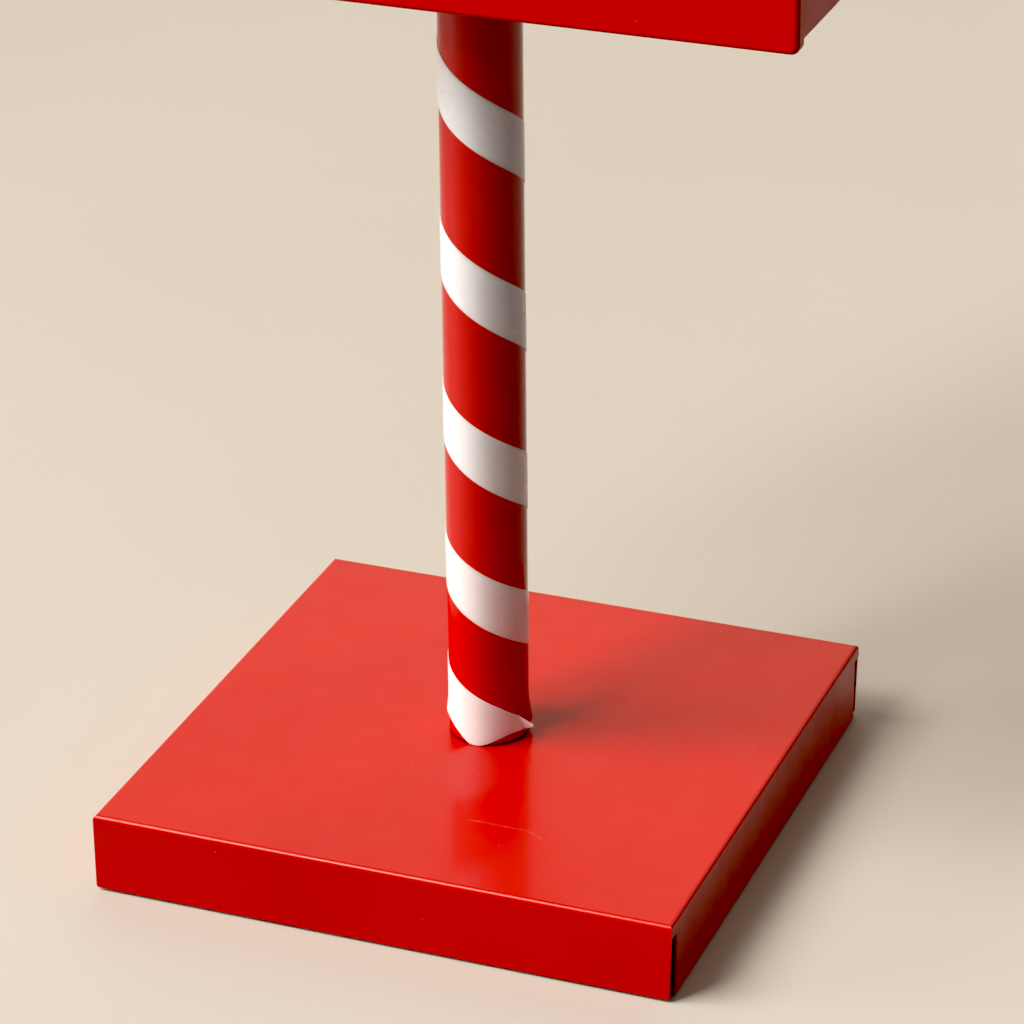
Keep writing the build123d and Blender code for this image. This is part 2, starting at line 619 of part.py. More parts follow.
# ---------------------------------------------------------------- the clockwork
def gear(teeth, module, y0, y1, x, z, phase=0.0):
    """Clock gear with slim straight-sided teeth; at phase 0 a tooth points along +X."""
    pitch_r = teeth * module / 2
    tip_r, root_r = pitch_r + 0.8 * module, pitch_r - 1.25 * module
    step = 2 * pi / teeth
    points = []
    for k in range(teeth):
        middle = phase + k * step
        for r, share in ((root_r, -0.26), (tip_r, -0.10), (tip_r, 0.10), (root_r, 0.26)):
            angle = middle + share * step
            points.append((x + r * cos(angle), z + r * sin(angle)))
    return slab_y(polygon(points), y0, y1)


def pivoted(x, z, y0, y1, r):
    """Arbor with a thinner pivot at each end, to run in the two plates."""
    arbor = rod_y(x, z, r, MOVE_FRONT + PLATE + 0.2, MOVE_BACK - PLATE - 0.2)
    return arbor + rod_y(x, z, PIVOT_R, y0, y1)


def clock_plates():
    """Front and back plates, with a hole for each pivot, and the pillars between them."""
    plates = []
    for y0 in (MOVE_FRONT, MOVE_BACK - PLATE):
        plate = block(MOVE_LEFT, MOVE_RIGHT, y0, y0 + PLATE, MOVE_BOTTOM, MOVE_TOP)
        plate = fillet(plate.edges().filter_by(Axis.Y), 8)
        for x, z in ((BARREL_X, BARREL_Z), (SECOND_X, SECOND_Z), (FAN_X, FAN_Z)):
            plate -= rod_y(x, z, PIVOT_R + PIVOT_PLAY, y0 - 1, y0 + PLATE + 1)
        plates.append(plate)
    plates[0] -= rod_y(CONTACT_X, CONTACT_Z, 2.0, MOVE_FRONT - 1, MOVE_FRONT + 3)
    plates[0] += rod_y(LEVER_X, LEVER_Z, 3, LEVER_FRONT - 0.3, MOVE_FRONT)
    plates[0] += rod_y(LEVER_X, LEVER_Z, 4.5, LEVER_FRONT - 2, LEVER_FRONT - 0.3)
    pillars = []
    for x in (MOVE_LEFT + 9, MOVE_RIGHT - 9):
        for z in (MOVE_BOTTOM + 9, MOVE_TOP - 9):
            pillars.append(rod_y(x, z, 3.5, MOVE_FRONT + PLATE, MOVE_BACK - PLATE))
            pillars.append(rod_y(x, z, 5, MOVE_BACK, PLATE_FRONT))
            pillars.append(screw_y(x, z, 1, 4, 2.4, MOVE_FRONT, MOVE_FRONT + 1))
            plates[0] -= rod_y(x, z, 1.05, MOVE_FRONT - 1, MOVE_FRONT + PLATE + 1)
    return plates, pillars


def code_wheel():
    """Disc whose raised teeth open and close the contact, in two groups."""
    step = 2 * pi / 40
    raised = {0, 1, 3, 4, 6, 7, 12, 13, 15, 16, 18, 19, 21, 22, 27, 28, 30, 31, 33, 34}
    points = []
    for k in range(40):
        r = CODE_R if k in raised else CODE_R - 3
        for share in (-0.45, 0.0, 0.45):
            angle = (k + share) * step
            points.append((SECOND_X + r * cos(angle), SECOND_Z + r * sin(angle)))
    disc = slab_y(polygon(points), CODE_FRONT, CODE_BACK)
    for k in range(4):
        angle = pi / 4 + k * pi / 2
        hole = (SECOND_X + 11 * cos(angle), SECOND_Z + 11 * sin(angle))
        disc -= rod_y(*hole, 4.5, CODE_FRONT - 1, CODE_BACK + 1)
    return disc - rod_y(SECOND_X, SECOND_Z, PIVOT_R, CODE_FRONT - 1, CODE_BACK + 1)


def clockwork():
    """Going barrel, second wheel with the code wheel on its arbor, fan governor and contact."""
    plates, pillars = clock_plates()
    barrel = gear(BARREL_TEETH, BARREL_MODULE, 0, 3, BARREL_X, BARREL_Z)
    barrel += rod_y(BARREL_X, BARREL_Z, 26, 3, 16)
    barrel += pivoted(BARREL_X, BARREL_Z, MOVE_FRONT - 7, MOVE_BACK + 2, 5)
    barrel += block(
        BARREL_X - 2.2, BARREL_X + 2.2, MOVE_FRONT - 7, MOVE_FRONT - 0.5, BARREL_Z - 2.2, BARREL_Z + 2.2
    )
    facing = radians(SECOND_ANGLE + 180)
    pinion_step = 2 * pi / PINION_TEETH
    drive = barrel_phase(SECOND_ANGLE)
    pinion = gear(
        PINION_TEETH, BARREL_MODULE, -1, 4, SECOND_X, SECOND_Z, facing + pinion_step / 2 + drive
    )
    second = pinion + gear(SECOND_TEETH, SECOND_MODULE, -8, -6, SECOND_X, SECOND_Z, radians(FAN_ANGLE))
    for k in range(4):
        angle = k * pi / 2
        hole = (SECOND_X + 10.5 * cos(angle), SECOND_Z + 10.5 * sin(angle))
        second -= rod_y(*hole, 4.2, -9, -5)
    second += pivoted(SECOND_X, SECOND_Z, MOVE_FRONT - 6, MOVE_BACK + 1, 3)
    second += rod_y(SECOND_X, SECOND_Z, 4, MOVE_FRONT - 6, CODE_FRONT)
    fan_facing = radians(FAN_ANGLE + 180)
    fan = gear(FAN_TEETH, SECOND_MODULE, -9, -5, FAN_X, FAN_Z, fan_facing + pi / FAN_TEETH)
    fan += pivoted(FAN_X, FAN_Z, MOVE_FRONT - 1, MOVE_BACK + 1, 2)
    fan += block(FAN_X - 13, FAN_X + 13, 3, 15, FAN_Z - 0.5, FAN_Z + 0.5)
    block_face = MOVE_FRONT - 7
    contact_block = block(22, 46, block_face, MOVE_FRONT, 618, 650)
    contact_block -= block(0, 40.5, block_face - 1, MOVE_FRONT - 0.6, CONTACT_Z - 6.5, CONTACT_Z + 6.5)
    contact_block += rod_y(CONTACT_X, CONTACT_Z, 2.0, MOVE_FRONT - 6, MOVE_FRONT - 0.6)
    strip = CONTACT_Z + 7.5
    contact_block += block(-12, 22, CODE_FRONT, CODE_BACK, strip, strip + 0.8)
    contact_block += block(-12, -8, CODE_FRONT, CODE_BACK, strip - 3.5, strip)
    finger = rod_y(CONTACT_X, CONTACT_Z, 4, CODE_FRONT, CODE_BACK)
    finger += block(SECOND_X - 2, CONTACT_X, CODE_FRONT, CODE_BACK, CONTACT_Z - 1.5, CONTACT_Z + 1)
    tip = SECOND_Z + CODE_R + 0.4
    finger += block(SECOND_X - 2, SECOND_X + 2, CODE_FRONT, CODE_BACK, tip, CONTACT_Z)
    finger -= rod_y(CONTACT_X, CONTACT_Z, 2.08, CODE_FRONT - 1, CODE_BACK + 1)
    return {
        "movement_front_plate": plates[0],
        "movement_back_plate": plates[1],
        "movement_pillars": group(pillars),
        "spring_barrel": barrel,
        "second_wheel": second,
        "code_wheel": code_wheel(),
        "governor_fan": fan,
        "contact_block": contact_block,
        "contact_finger": finger,
    }


def barrel_phase(angle):
    """How far round, in the pinion's own angle, the barrel's tooth stands from the line of centres."""
    step = 360.0 / BARREL_TEETH
    past = (angle % step) / step
    return past * 2 * pi / PINION_TEETH


# ---------------------------------------------------------------- the gong and the hammer
def gong_assembly():
    """Bell on a pillar, and the striker that taps its rim."""
    rim_y, crown_y, wall = -18.0, -44.0, 2.2
    profile = [
        (0, crown_y), (GONG_R * 0.35, crown_y), (GONG_R * 0.78, crown_y + 7),
        (GONG_R * 0.95, crown_y + 15), (GONG_R, rim_y),
        (GONG_R - wall, rim_y), (GONG_R * 0.95 - wall, crown_y + 15 + wall * 0.6),
        (GONG_R * 0.76 - wall, crown_y + 7 + wall), (GONG_R * 0.35, crown_y + wall), (0, crown_y + wall),
    ]
    gong = Pos(GONG_X, 0, GONG_Z) * revolve(polygon(profile), Axis.Y, 360)
    gong -= rod_y(GONG_X, GONG_Z, 4, crown_y - 1, crown_y + 4)
    pillar = rod_y(GONG_X, GONG_Z, 7, crown_y + wall, PLATE_FRONT)
    pillar += rod_y(GONG_X, GONG_Z, 4, crown_y - 3, crown_y + wall)
    pillar += hex_y(GONG_X, GONG_Z, 6, crown_y - 5, crown_y)
    pivot_x, pivot_z = STRIKER_X, STRIKER_Z
    arm_top = GONG_Z
    striker = rod_y(pivot_x, pivot_z, 5, -25, -20)
    striker += block(pivot_x - 1.5, pivot_x + 1.5, -24, -21, pivot_z, arm_top)
    ball = Pos(pivot_x, -22.5, arm_top) * Sphere(6)
    striker += ball
    striker -= rod_y(pivot_x, pivot_z, 2.08, -26, -19)
    pivot = rod_y(pivot_x, pivot_z, 2, -26.5, -19.5) + rod_y(pivot_x, pivot_z, 4, -19.5, PLATE_FRONT)
    pivot += rod_y(pivot_x, pivot_z, 3.5, -28, -26)
    return {"gong": gong, "gong_pillars": group([pillar, pivot]), "gong_striker": striker}


def hammer_assembly():
    """Small glass hammer, upright in two open spring clips on the right side of the box."""
    clips = []
    foot = BOX_HALF + SHEET
    for z in CLIP_HEIGHTS:
        low, high = z - CLIP_HALF, z + CLIP_HALF
        clip = block(BOX_HALF, foot, HAMMER_Y - 11, HAMMER_Y + 11, low, high)
        for side in (-1, 1):
            y0, y1 = sorted((HAMMER_Y + side * (HAMMER_R + 0.15), HAMMER_Y + side * (HAMMER_R + 1.35)))
            clip += block(foot, HAMMER_X + 4, y0, y1, low, high)
        clips.append(clip)
    handle = rod_z(HAMMER_X, HAMMER_Y, HAMMER_R, HAMMER_LOW, HAMMER_HIGH)
    handle = fillet(handle.edges().filter_by(GeomType.CIRCLE), 2)
    head = rod_y(HAMMER_X, HAMMER_HEAD, 9, HAMMER_Y - 16, HAMMER_Y + 12)
    ends = head.edges().filter_by(GeomType.CIRCLE)
    head = fillet(ends, 1.5)
    point = Pos(HAMMER_X, HAMMER_Y + 12 + 7, HAMMER_HEAD) * Rot(-90, 0, 0) * Cone(7, 1, 14)
    return {"glass_hammer": handle + head + point, "hammer_clips": group(clips)}


def terminals():
    """Terminal block for the line wires, and its screws."""
    low, high, left, right = 515.0, 533.0, -120.0, -48.0
    strip = block(left, right, PLATE_FRONT - 16, PLATE_FRONT, low, high)
    strip = fillet(strip.edges().filter_by(Axis.Y), 2)
    screws = []
    for k in range(TERMINALS):
        x = left + (right - left) * (k + 0.5) / TERMINALS
        z = (low + high) / 2
        strip -= rod_y(x, z, 4.2, PLATE_FRONT - 17, PLATE_FRONT - 8)
        strip -= rod_y(x, z, 1.6, PLATE_FRONT - 9, PLATE_FRONT - 2)
        screws.append(screw_y(x, z, 1.6, 3.6, 2.4, PLATE_FRONT - 8, PLATE_FRONT - 2))
    return {"terminal_block": strip, "terminal_screws": group(screws)}


ASSEMBLIES = (
    foot_assembly,
    post_assembly,
    box_fittings,
    hood_assembly,
    window_assembly,
    sign_assembly,
    lock_assembly,
    hinge_assembly,
    pull_assembly,
    clockwork,
    gong_assembly,
    hammer_assembly,
    terminals,
)


def main():
    os.makedirs("parts", exist_ok=True)
    pieces = {"door_panel": door_panel()}
    for assembly in ASSEMBLIES:
        pieces.update(assembly())
    for name, shape in pieces.items():
        export_step(shape, f"parts/{name}.step")
    print(len(pieces), "pieces")


main()
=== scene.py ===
# %% [markdown]
# # Street fire alarm box
# This file dresses a street fire alarm box: a steel box on a candy-striped post with a square foot. The
# hard parts come from the CAD model, so this file never moves them. It gives them paint, metal and glass,
# and it builds the thin things that CAD leaves plain, such as the film and the tape on the post.
#
# Everything is in metres. Z is up, the door faces -Y and +X is to the right of somebody who faces the door.

# %% Load the CAD frame
import math

import bmesh
import bpy
from mathutils import Matrix, Vector, noise


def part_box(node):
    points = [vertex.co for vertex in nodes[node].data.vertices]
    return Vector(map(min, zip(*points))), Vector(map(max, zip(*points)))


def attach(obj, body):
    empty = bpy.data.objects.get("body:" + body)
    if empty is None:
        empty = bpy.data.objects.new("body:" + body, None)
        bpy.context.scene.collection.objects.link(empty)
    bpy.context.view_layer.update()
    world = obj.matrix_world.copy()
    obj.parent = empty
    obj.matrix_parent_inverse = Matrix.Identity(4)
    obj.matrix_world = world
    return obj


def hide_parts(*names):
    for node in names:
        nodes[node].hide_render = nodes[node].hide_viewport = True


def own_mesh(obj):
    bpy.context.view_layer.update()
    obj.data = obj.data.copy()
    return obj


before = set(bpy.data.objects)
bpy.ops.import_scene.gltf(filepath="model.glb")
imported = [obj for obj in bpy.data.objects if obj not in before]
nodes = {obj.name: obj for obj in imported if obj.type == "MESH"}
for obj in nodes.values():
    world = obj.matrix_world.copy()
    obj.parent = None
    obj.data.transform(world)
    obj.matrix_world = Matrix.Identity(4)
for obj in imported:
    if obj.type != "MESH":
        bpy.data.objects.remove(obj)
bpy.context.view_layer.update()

# %% [markdown]
# ## Where things are
# Sizes are read off the CAD pieces, so the looks follow the design when it changes. `top_of` and
# `bottom_of` are two small helpers that ask the frame for the height of a piece.

# %% Heights and radii read from the frame
MM = 0.001


def bottom_of(node):
    """Lowest height of a CAD piece."""
    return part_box(node)[0].z


def top_of(node):
    """Highest height of a CAD piece."""
    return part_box(node)[1].z


foot_top = top_of("base_cover")
box_bottom = bottom_of("box_body")
post_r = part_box("post_tube")[1].x
half_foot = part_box("base_cover")[1].x
print("foot top", round(foot_top, 4), "box bottom", round(box_bottom, 4))
print("post radius", round(post_r, 4), "half of the foot", round(half_foot, 4))

# %% [markdown]
# ## The camera
# The picture is taken from the right and from above, with a long lens, so that upright lines stay nearly
# upright. A camera looks along its own -Z, with its own +Y up, so its matrix is made from three directions:
# right, up and back.

# %% Camera
CAMERA_PLACE = Vector((0.6917, -1.7376, 1.0788))
CAMERA_YAW = math.radians(-21.32)
CAMERA_PITCH = math.radians(26.08)
CAMERA_ROLL = math.radians(-0.60)
LENS = 147.93
SENSOR = 36.0
FARTHEST_SEEN = 50


def camera_matrix(place, yaw, pitch, roll):
    """Matrix of a camera that looks down by pitch and turns right by yaw."""
    ahead = Vector((math.sin(yaw) * math.cos(pitch), math.cos(yaw) * math.cos(pitch), -math.sin(pitch)))
    level = Vector((math.cos(yaw), -math.sin(yaw), 0))
    above = level.cross(ahead)
    right = level * math.cos(roll) + above * math.sin(roll)
    up = above * math.cos(roll) - level * math.sin(roll)
    turn = Matrix((right, up, -ahead)).transposed().to_4x4()
    return Matrix.Translation(place) @ turn


camera_data = bpy.data.cameras.new("camera")
camera_data.sensor_width = SENSOR
camera_data.lens = LENS
camera_data.clip_end = FARTHEST_SEEN
camera = bpy.data.objects.new("camera", camera_data)
camera.matrix_world = camera_matrix(CAMERA_PLACE, CAMERA_YAW, CAMERA_PITCH, CAMERA_ROLL)
bpy.context.scene.collection.objects.link(camera)
bpy.context.scene.camera = camera
print("lens", round(camera_data.lens, 1), "mm")

# %% [markdown]
# ## Floor, sky and lamps
# A picture of a thing needs something for it to stand on and something to be mirrored in it. The floor is
# one big pale sheet. The light is that of a bright room: a broad soft light from the left, almost 50
# degrees high, lights the top and the left sides and lets the right side fall into shade. Blender's sun
# lamp with a wide angle does this evenly over the whole floor, which a near lamp can't. A dim wide light
# behind lays a soft sheen on the foot and keeps the back from going black, and a very dim one does the same
# on the right. Another light, low on the left, reaches the post under the box. A tall narrow lamp draws the
# bright line along the front fold.
#
# Light that the floor throws back up would wash out the shaded side, so the floor takes no part in the soft
# bounce. It is still mirrored in the gloss, and it still catches the shadow.

# %% Floor
def put(name, mesh):
    """Make an object from a mesh and add it to the scene."""
    made = bpy.data.objects.new(name, mesh)
    bpy.context.scene.collection.objects.link(made)
    return made


def sheet_mesh(name, width, depth, z):
    """A flat sheet with its middle at the origin."""
    work = bmesh.new()
    bmesh.ops.create_grid(work, x_segments=1, y_segments=1, size=0.5)
    for corner in work.verts:
        corner.co = Vector((corner.co.x * width, corner.co.y * depth, z))
    mesh = bpy.data.meshes.new(name)
    work.to_mesh(mesh)
    work.free()
    return mesh


FLOOR_SIDE = 30.0
floor = put("floor", sheet_mesh("floor", FLOOR_SIDE, FLOOR_SIDE, 0.0))
floor.visible_diffuse = False
print("floor", FLOOR_SIDE, "m across")

# %% [markdown]
# ### The sky
# The world round the floor gives a dim warm light, so that shade stays deep. Past the floor's edge the
# camera sees a paler plain backdrop instead, which lights nothing. The black point of the view is raised a
# little, which clears the haze from dark tones.

# %% Sky
SKY = (0.92, 0.84, 0.76)
SKY_STRENGTH = 0.18
BACKDROP = (0.80, 0.75, 0.67)
BLACK_POINT = 0.030
scene = bpy.context.scene
world = bpy.data.worlds.new("room")
world.use_nodes = True
sky_tree = world.node_tree
sky_light = sky_tree.nodes["Background"]
sky_light.inputs["Color"].default_value = (*SKY, 1)
sky_light.inputs["Strength"].default_value = SKY_STRENGTH
sky_seen = sky_tree.nodes.new("ShaderNodeBackground")
sky_seen.inputs["Color"].default_value = (*BACKDROP, 1)
sky_choice = sky_tree.nodes.new("ShaderNodeMixShader")
ray = sky_tree.nodes.new("ShaderNodeLightPath")
sky_tree.links.new(ray.outputs["Is Camera Ray"], sky_choice.inputs[0])
sky_tree.links.new(sky_light.outputs[0], sky_choice.inputs[1])
sky_tree.links.new(sky_seen.outputs[0], sky_choice.inputs[2])
sky_tree.links.new(sky_choice.outputs[0], sky_tree.nodes["World Output"].inputs["Surface"])
scene.world = world
scene.view_settings.view_transform = "Standard"
scene.view_settings.use_curve_mapping = True
scene.view_settings.curve_mapping.black_level = (BLACK_POINT,) * 3
scene.view_settings.curve_mapping.update()
print("sky strength", SKY_STRENGTH)


# %% Lamps
DAYLIGHT = (1.0, 0.96, 0.90)
WARM = (1.0, 0.86, 0.70)
MIDDLE = Vector((0, 0, 0.40))


def aim(name, lamp, place, colour):
    """Put a lamp at place, turned to the middle of the box. It lights things, but isn't seen itself."""
    lamp.color = colour
    made = bpy.data.objects.new(name, lamp)
    made.location = place
    made.rotation_euler = (MIDDLE - Vector(place)).to_track_quat("-Z", "Y").to_euler()
    made.visible_camera = False
    scene.collection.objects.link(made)
    return made


def broad_light(name, place, strength, spread, colour):
    """Soft light from a whole part of the room. Spread is how wide it looks, in degrees."""
    lamp = bpy.data.lights.new(name, "SUN")
    lamp.energy = strength
    lamp.angle = math.radians(spread)
    return aim(name, lamp, place, colour)


def strip_light(name, place, width, height, watts, colour):
    """Rectangle of light, turned to the box. Width and height are in metres."""
    lamp = bpy.data.lights.new(name, "AREA")
    lamp.shape = "RECTANGLE"
    lamp.size = width
    lamp.size_y = height
    lamp.energy = watts
    return aim(name, lamp, place, colour)


broad_light("window_light", (-2.2, -1.2, 3.2), 2.6, 30, DAYLIGHT)
broad_light("low_window_light", (-2.8, -1.2, 0.65), 2.4, 30, DAYLIGHT)
broad_light("back_light", (-0.8, 5.0, 4.0), 0.9, 70, WARM)
broad_light("right_light", (3.0, 0.6, 1.4), 0.10, 60, WARM)
strip_light("fold_light", (-1.15, -1.9, 2.7), 0.6, 1.7, 60, DAYLIGHT)
print("5 lamps")

# %% [markdown]
# ## Helpers for finishes
# A finish is a small network of nodes that ends in a Principled shader. Four moves are enough for nearly
# all of them: take the place of a point on the piece, turn it into noise, turn the noise into a colour or a
# roughness, and turn it into bumps. Each helper below adds one such node and returns its output. A material
# could be clicked together by hand as well, but then the finishes couldn't share their parts.

# %% Helpers that add a node and read a place
def add(tree, kind, inputs=None, **settings):
    """Add a node, set its properties and its inputs, and return it. An input may be a value or an output."""
    node = tree.nodes.new("ShaderNode" + kind)
    for key, value in settings.items():
        setattr(node, key, value)
    for key, value in (inputs or {}).items():
        if isinstance(value, bpy.types.NodeSocket):
            tree.links.new(value, node.inputs[key])
        else:
            node.inputs[key].default_value = value
    return node


def place(tree, stretch=(1, 1, 1)):
    """Where the point is on its own piece, in metres, stretched along an axis."""
    spot = add(tree, "TexCoord").outputs["Object"]
    return add(tree, "Mapping", {"Vector": spot, "Scale": stretch}).outputs["Vector"]


print("helpers: add, place")


# %% Helpers for noise and numbers
def grain(tree, where, scale, detail=3.0, rough=0.5):
    """Soft noise from 0 to 1, with scale cells in a metre."""
    facts = {"Vector": where, "Scale": scale, "Detail": detail, "Roughness": rough}
    return add(tree, "TexNoise", facts).outputs["Fac"]


def between(tree, value, low, high, new_low=0.0, new_high=1.0):
    """Turn low to high into new_low to new_high with soft ends, and hold the end values outside."""
    facts = {"Value": value, "From Min": low, "From Max": high, "To Min": new_low, "To Max": new_high}
    return add(tree, "MapRange", facts, interpolation_type="SMOOTHSTEP").outputs["Result"]


def sums(tree, kind, first, second):
    """Arithmetic on two values. Kind is the name of the operation, such as MULTIPLY."""
    node = add(tree, "Math", operation=kind)
    for socket, value in zip(node.inputs, (first, second)):
        if isinstance(value, bpy.types.NodeSocket):
            tree.links.new(value, socket)
        else:
            socket.default_value = value
    return node.outputs[0]


print("helpers: grain, between, sums")


# %% Helpers for colour, bumps and the shader
def blend_colours(tree, share, first, second):
    """Mix of two colours: the first where share is 0 and the second where it is 1."""
    mixer = add(tree, "Mix", data_type="RGBA")
    colour_sockets = {s.name: s for s in mixer.inputs if s.type == "RGBA"}
    for name, value in (("A", first), ("B", second)):
        if isinstance(value, bpy.types.NodeSocket):
            tree.links.new(value, colour_sockets[name])
        else:
            colour_sockets[name].default_value = (*value, 1)
    tree.links.new(share, mixer.inputs["Factor"])
    return next(s for s in mixer.outputs if s.type == "RGBA")


def bumps(tree, height, depth, under=None):
    """Bumps of that depth in metres, on top of other bumps."""
    facts = {"Height": height, "Distance": depth, "Strength": 1.0}
    if under is not None:
        facts["Normal"] = under
    return add(tree, "Bump", facts).outputs["Normal"]


def new_finish(name, **shader):
    """A material with a Principled shader, whose sockets are set by name."""
    made = bpy.data.materials.new(name)
    made.use_nodes = True
    tree = made.node_tree
    principled = tree.nodes["Principled BSDF"]
    for key, value in shader.items():
        principled.inputs[key.replace("_", " ")].default_value = value
    return made, tree, principled


def feed(tree, principled, **outputs):
    """Join outputs to the shader's sockets."""
    for key, value in outputs.items():
        tree.links.new(value, principled.inputs[key.replace("_", " ")])


print("helpers: blend_colours, bumps, new_finish, feed")

# %% [markdown]
# ## Powder coat
# The foot, the box, the door and the hood are powder coated: coloured dust is baked on, which leaves a
# tough satin skin with a faint orange peel. Its bumps are about a millimetre across and a few microns deep.
# Fine pale dust lies on it, and the shade drifts a little, because no coat is equally thick everywhere.
#
# The foot has had a life. In front of the post something was dragged over it and left two thin curved
# scratches. Each is part of a circle, so one distance describes it. The inside of the foot is painted
# shade: it is coloured nearly black, so that its open corners read as dark slits. Painting the marks by
# hand on an image would need unwrapping; a rule about places needs none and is sharp at any distance.

# %% Marks on a coat
SHAKE_CELLS, SHAKE_DEPTH = 220.0, 1.6 * MM
SCRATCH_FADE = 0.12


def specks(tree, where, scale, size, share):
    """Tiny round specks: 1 on a speck, 0 elsewhere. Share is the part of the cells that have one."""
    cells = add(tree, "TexVoronoi", {"Vector": where, "Scale": scale, "Randomness": 1.0})
    near = between(tree, cells.outputs["Distance"], size * 0.5, size, 1.0, 0.0)
    lot = add(tree, "SeparateColor", {"Color": cells.outputs["Color"]}).outputs["Red"]
    return sums(tree, "MULTIPLY", near, sums(tree, "LESS_THAN", lot, share))


def arc_scratch(tree, where, centre, radius, start, end, width):
    """A scratch along part of a flat circle: 1 on it, 0 elsewhere. Start and end are in degrees."""
    away = add(tree, "VectorMath", {0: where, 1: centre}, operation="SUBTRACT").outputs["Vector"]
    parts = add(tree, "SeparateXYZ", {"Vector": away})
    across = sums(tree, "POWER", parts.outputs["X"], 2.0)
    along = sums(tree, "POWER", parts.outputs["Y"], 2.0)
    reach = sums(tree, "POWER", sums(tree, "ADD", across, along), 0.5)
    shake = grain(tree, where, SHAKE_CELLS, 3.0)
    wobble = sums(tree, "MULTIPLY", sums(tree, "SUBTRACT", shake, 0.5), SHAKE_DEPTH)
    off = sums(tree, "SUBTRACT", sums(tree, "ADD", reach, wobble), radius)
    off = sums(tree, "ABSOLUTE", off, 0.0)
    line = between(tree, off, width * 0.4, width, 1.0, 0.0)
    angle = sums(tree, "ARCTAN2", parts.outputs["Y"], parts.outputs["X"])
    fade = (end - start) * SCRATCH_FADE
    low = between(tree, angle, math.radians(start), math.radians(start + fade))
    high = between(tree, angle, math.radians(end - fade), math.radians(end), 1.0, 0.0)
    broken = between(tree, grain(tree, where, 420.0, 2.0), 0.40, 0.60, 0.25, 1.0)
    ends = sums(tree, "MULTIPLY", low, high)
    return sums(tree, "MULTIPLY", sums(tree, "MULTIPLY", line, broken), ends)


def inside_pan(tree, where, half, ceiling):
    """1 in the hollow of a square pan turned upside down, 0 elsewhere. Half is half of its width."""
    parts = add(tree, "SeparateXYZ", {"Vector": where})
    across = sums(tree, "ABSOLUTE", parts.outputs["X"], 0.0)
    along = sums(tree, "ABSOLUTE", parts.outputs["Y"], 0.0)
    in_plan = sums(tree, "LESS_THAN", sums(tree, "MAXIMUM", across, along), half)
    return sums(tree, "MULTIPLY", in_plan, sums(tree, "LESS_THAN", parts.outputs["Z"], ceiling))


print("marks: specks, arc_scratch, inside_pan")


# %% Red powder coat
RED_COAT = (0.57, 0.0085, 0.0045)
RED_DEEP = (0.52, 0.006, 0.003)
DUST = (0.80, 0.50, 0.42)
CHIP = (0.86, 0.55, 0.50)
# painted shade: the colour that the inside of the foot's pan is given, nearly black
HOLLOW_PAINTED_SHADE = (0.012, 0.010, 0.010)
PAN_WALL = 1.2 * MM


def powder_coat(name, bright, deep, roughness, gloss, marks=(), hollow=None):
    """Satin baked coat. Marks are facts for arc_scratch, and hollow holds the facts for inside_pan."""
    made, tree, shader = new_finish(
        name, IOR=1.5, Specular_IOR_Level=gloss, Coat_Weight=gloss * 1.2, Coat_Roughness=0.12,
        Coat_IOR=1.45,
    )
    where = place(tree)
    drift = grain(tree, where, 7.0, 3.0)
    colour = blend_colours(tree, between(tree, drift, 0.3, 0.7), deep, bright)
    dust = specks(tree, where, 130.0, 0.05, 0.16)
    colour = blend_colours(tree, sums(tree, "MULTIPLY", dust, 0.45), colour, DUST)
    for facts in marks:
        mark = arc_scratch(tree, where, *facts)
        colour = blend_colours(tree, sums(tree, "MULTIPLY", mark, 0.45), colour, CHIP)
    # painted shade: the hollow under the foot's top is coloured nearly black
    if hollow is not None:
        colour = blend_colours(tree, inside_pan(tree, where, *hollow), colour, HOLLOW_PAINTED_SHADE)
    rub = grain(tree, where, 45.0, 5.0, 0.6)
    peel = grain(tree, where, 700.0, 2.0)
    wave = grain(tree, where, 14.0, 1.0)
    feed(
        tree, shader, Base_Color=colour,
        Roughness=between(tree, rub, 0.25, 0.75, roughness - 0.04, roughness + 0.06),
        Normal=bumps(tree, peel, 0.000010, bumps(tree, wave, 0.00012)),
    )
    return made


# centre, radius, first and last angle in degrees, half the width
SCRATCHES = [
    ((0.036, -0.290, 0.0), 0.200, 86.0, 93.8, 0.00017),
    ((0.049, -0.1145, 0.0), 0.0245, 50.0, 92.0, 0.00017),
]
hollow = (half_foot - PAN_WALL, foot_top - PAN_WALL)
foot_coat = powder_coat("red_powder_coat_foot", RED_COAT, RED_DEEP, 0.36, 0.30, SCRATCHES, hollow)
box_coat = powder_coat("red_powder_coat_box", RED_COAT, RED_DEEP, 0.34, 0.12)
print("made", foot_coat.name, box_coat.name)

# %% [markdown]
# ## Film and tape on the post
# The post isn't painted. Red gloss film is rolled round the tube, and white tape is wound over it. Film
# takes every speck that lay under it and shows it as a tiny dark or pale point, and it is smoother than
# powder coat, so it mirrors the floor. The tape is white vinyl with a slight sheen, a little dirt along its
# edges and tension lines along its length.

# %% Gloss film
RED_FILM = (0.52, 0.004, 0.004)
FILM_POINT_DARK = (0.22, 0.0, 0.0)
FILM_POINT_PALE = (0.90, 0.45, 0.40)
# painted contact shadow: a near-black red for the film's lowest two millimetres, where it meets the foot
PAINTED_CONTACT_SHADE = (0.05, 0.0, 0.0)
PAINTED_SHADE_HEIGHT = 2.2 * MM


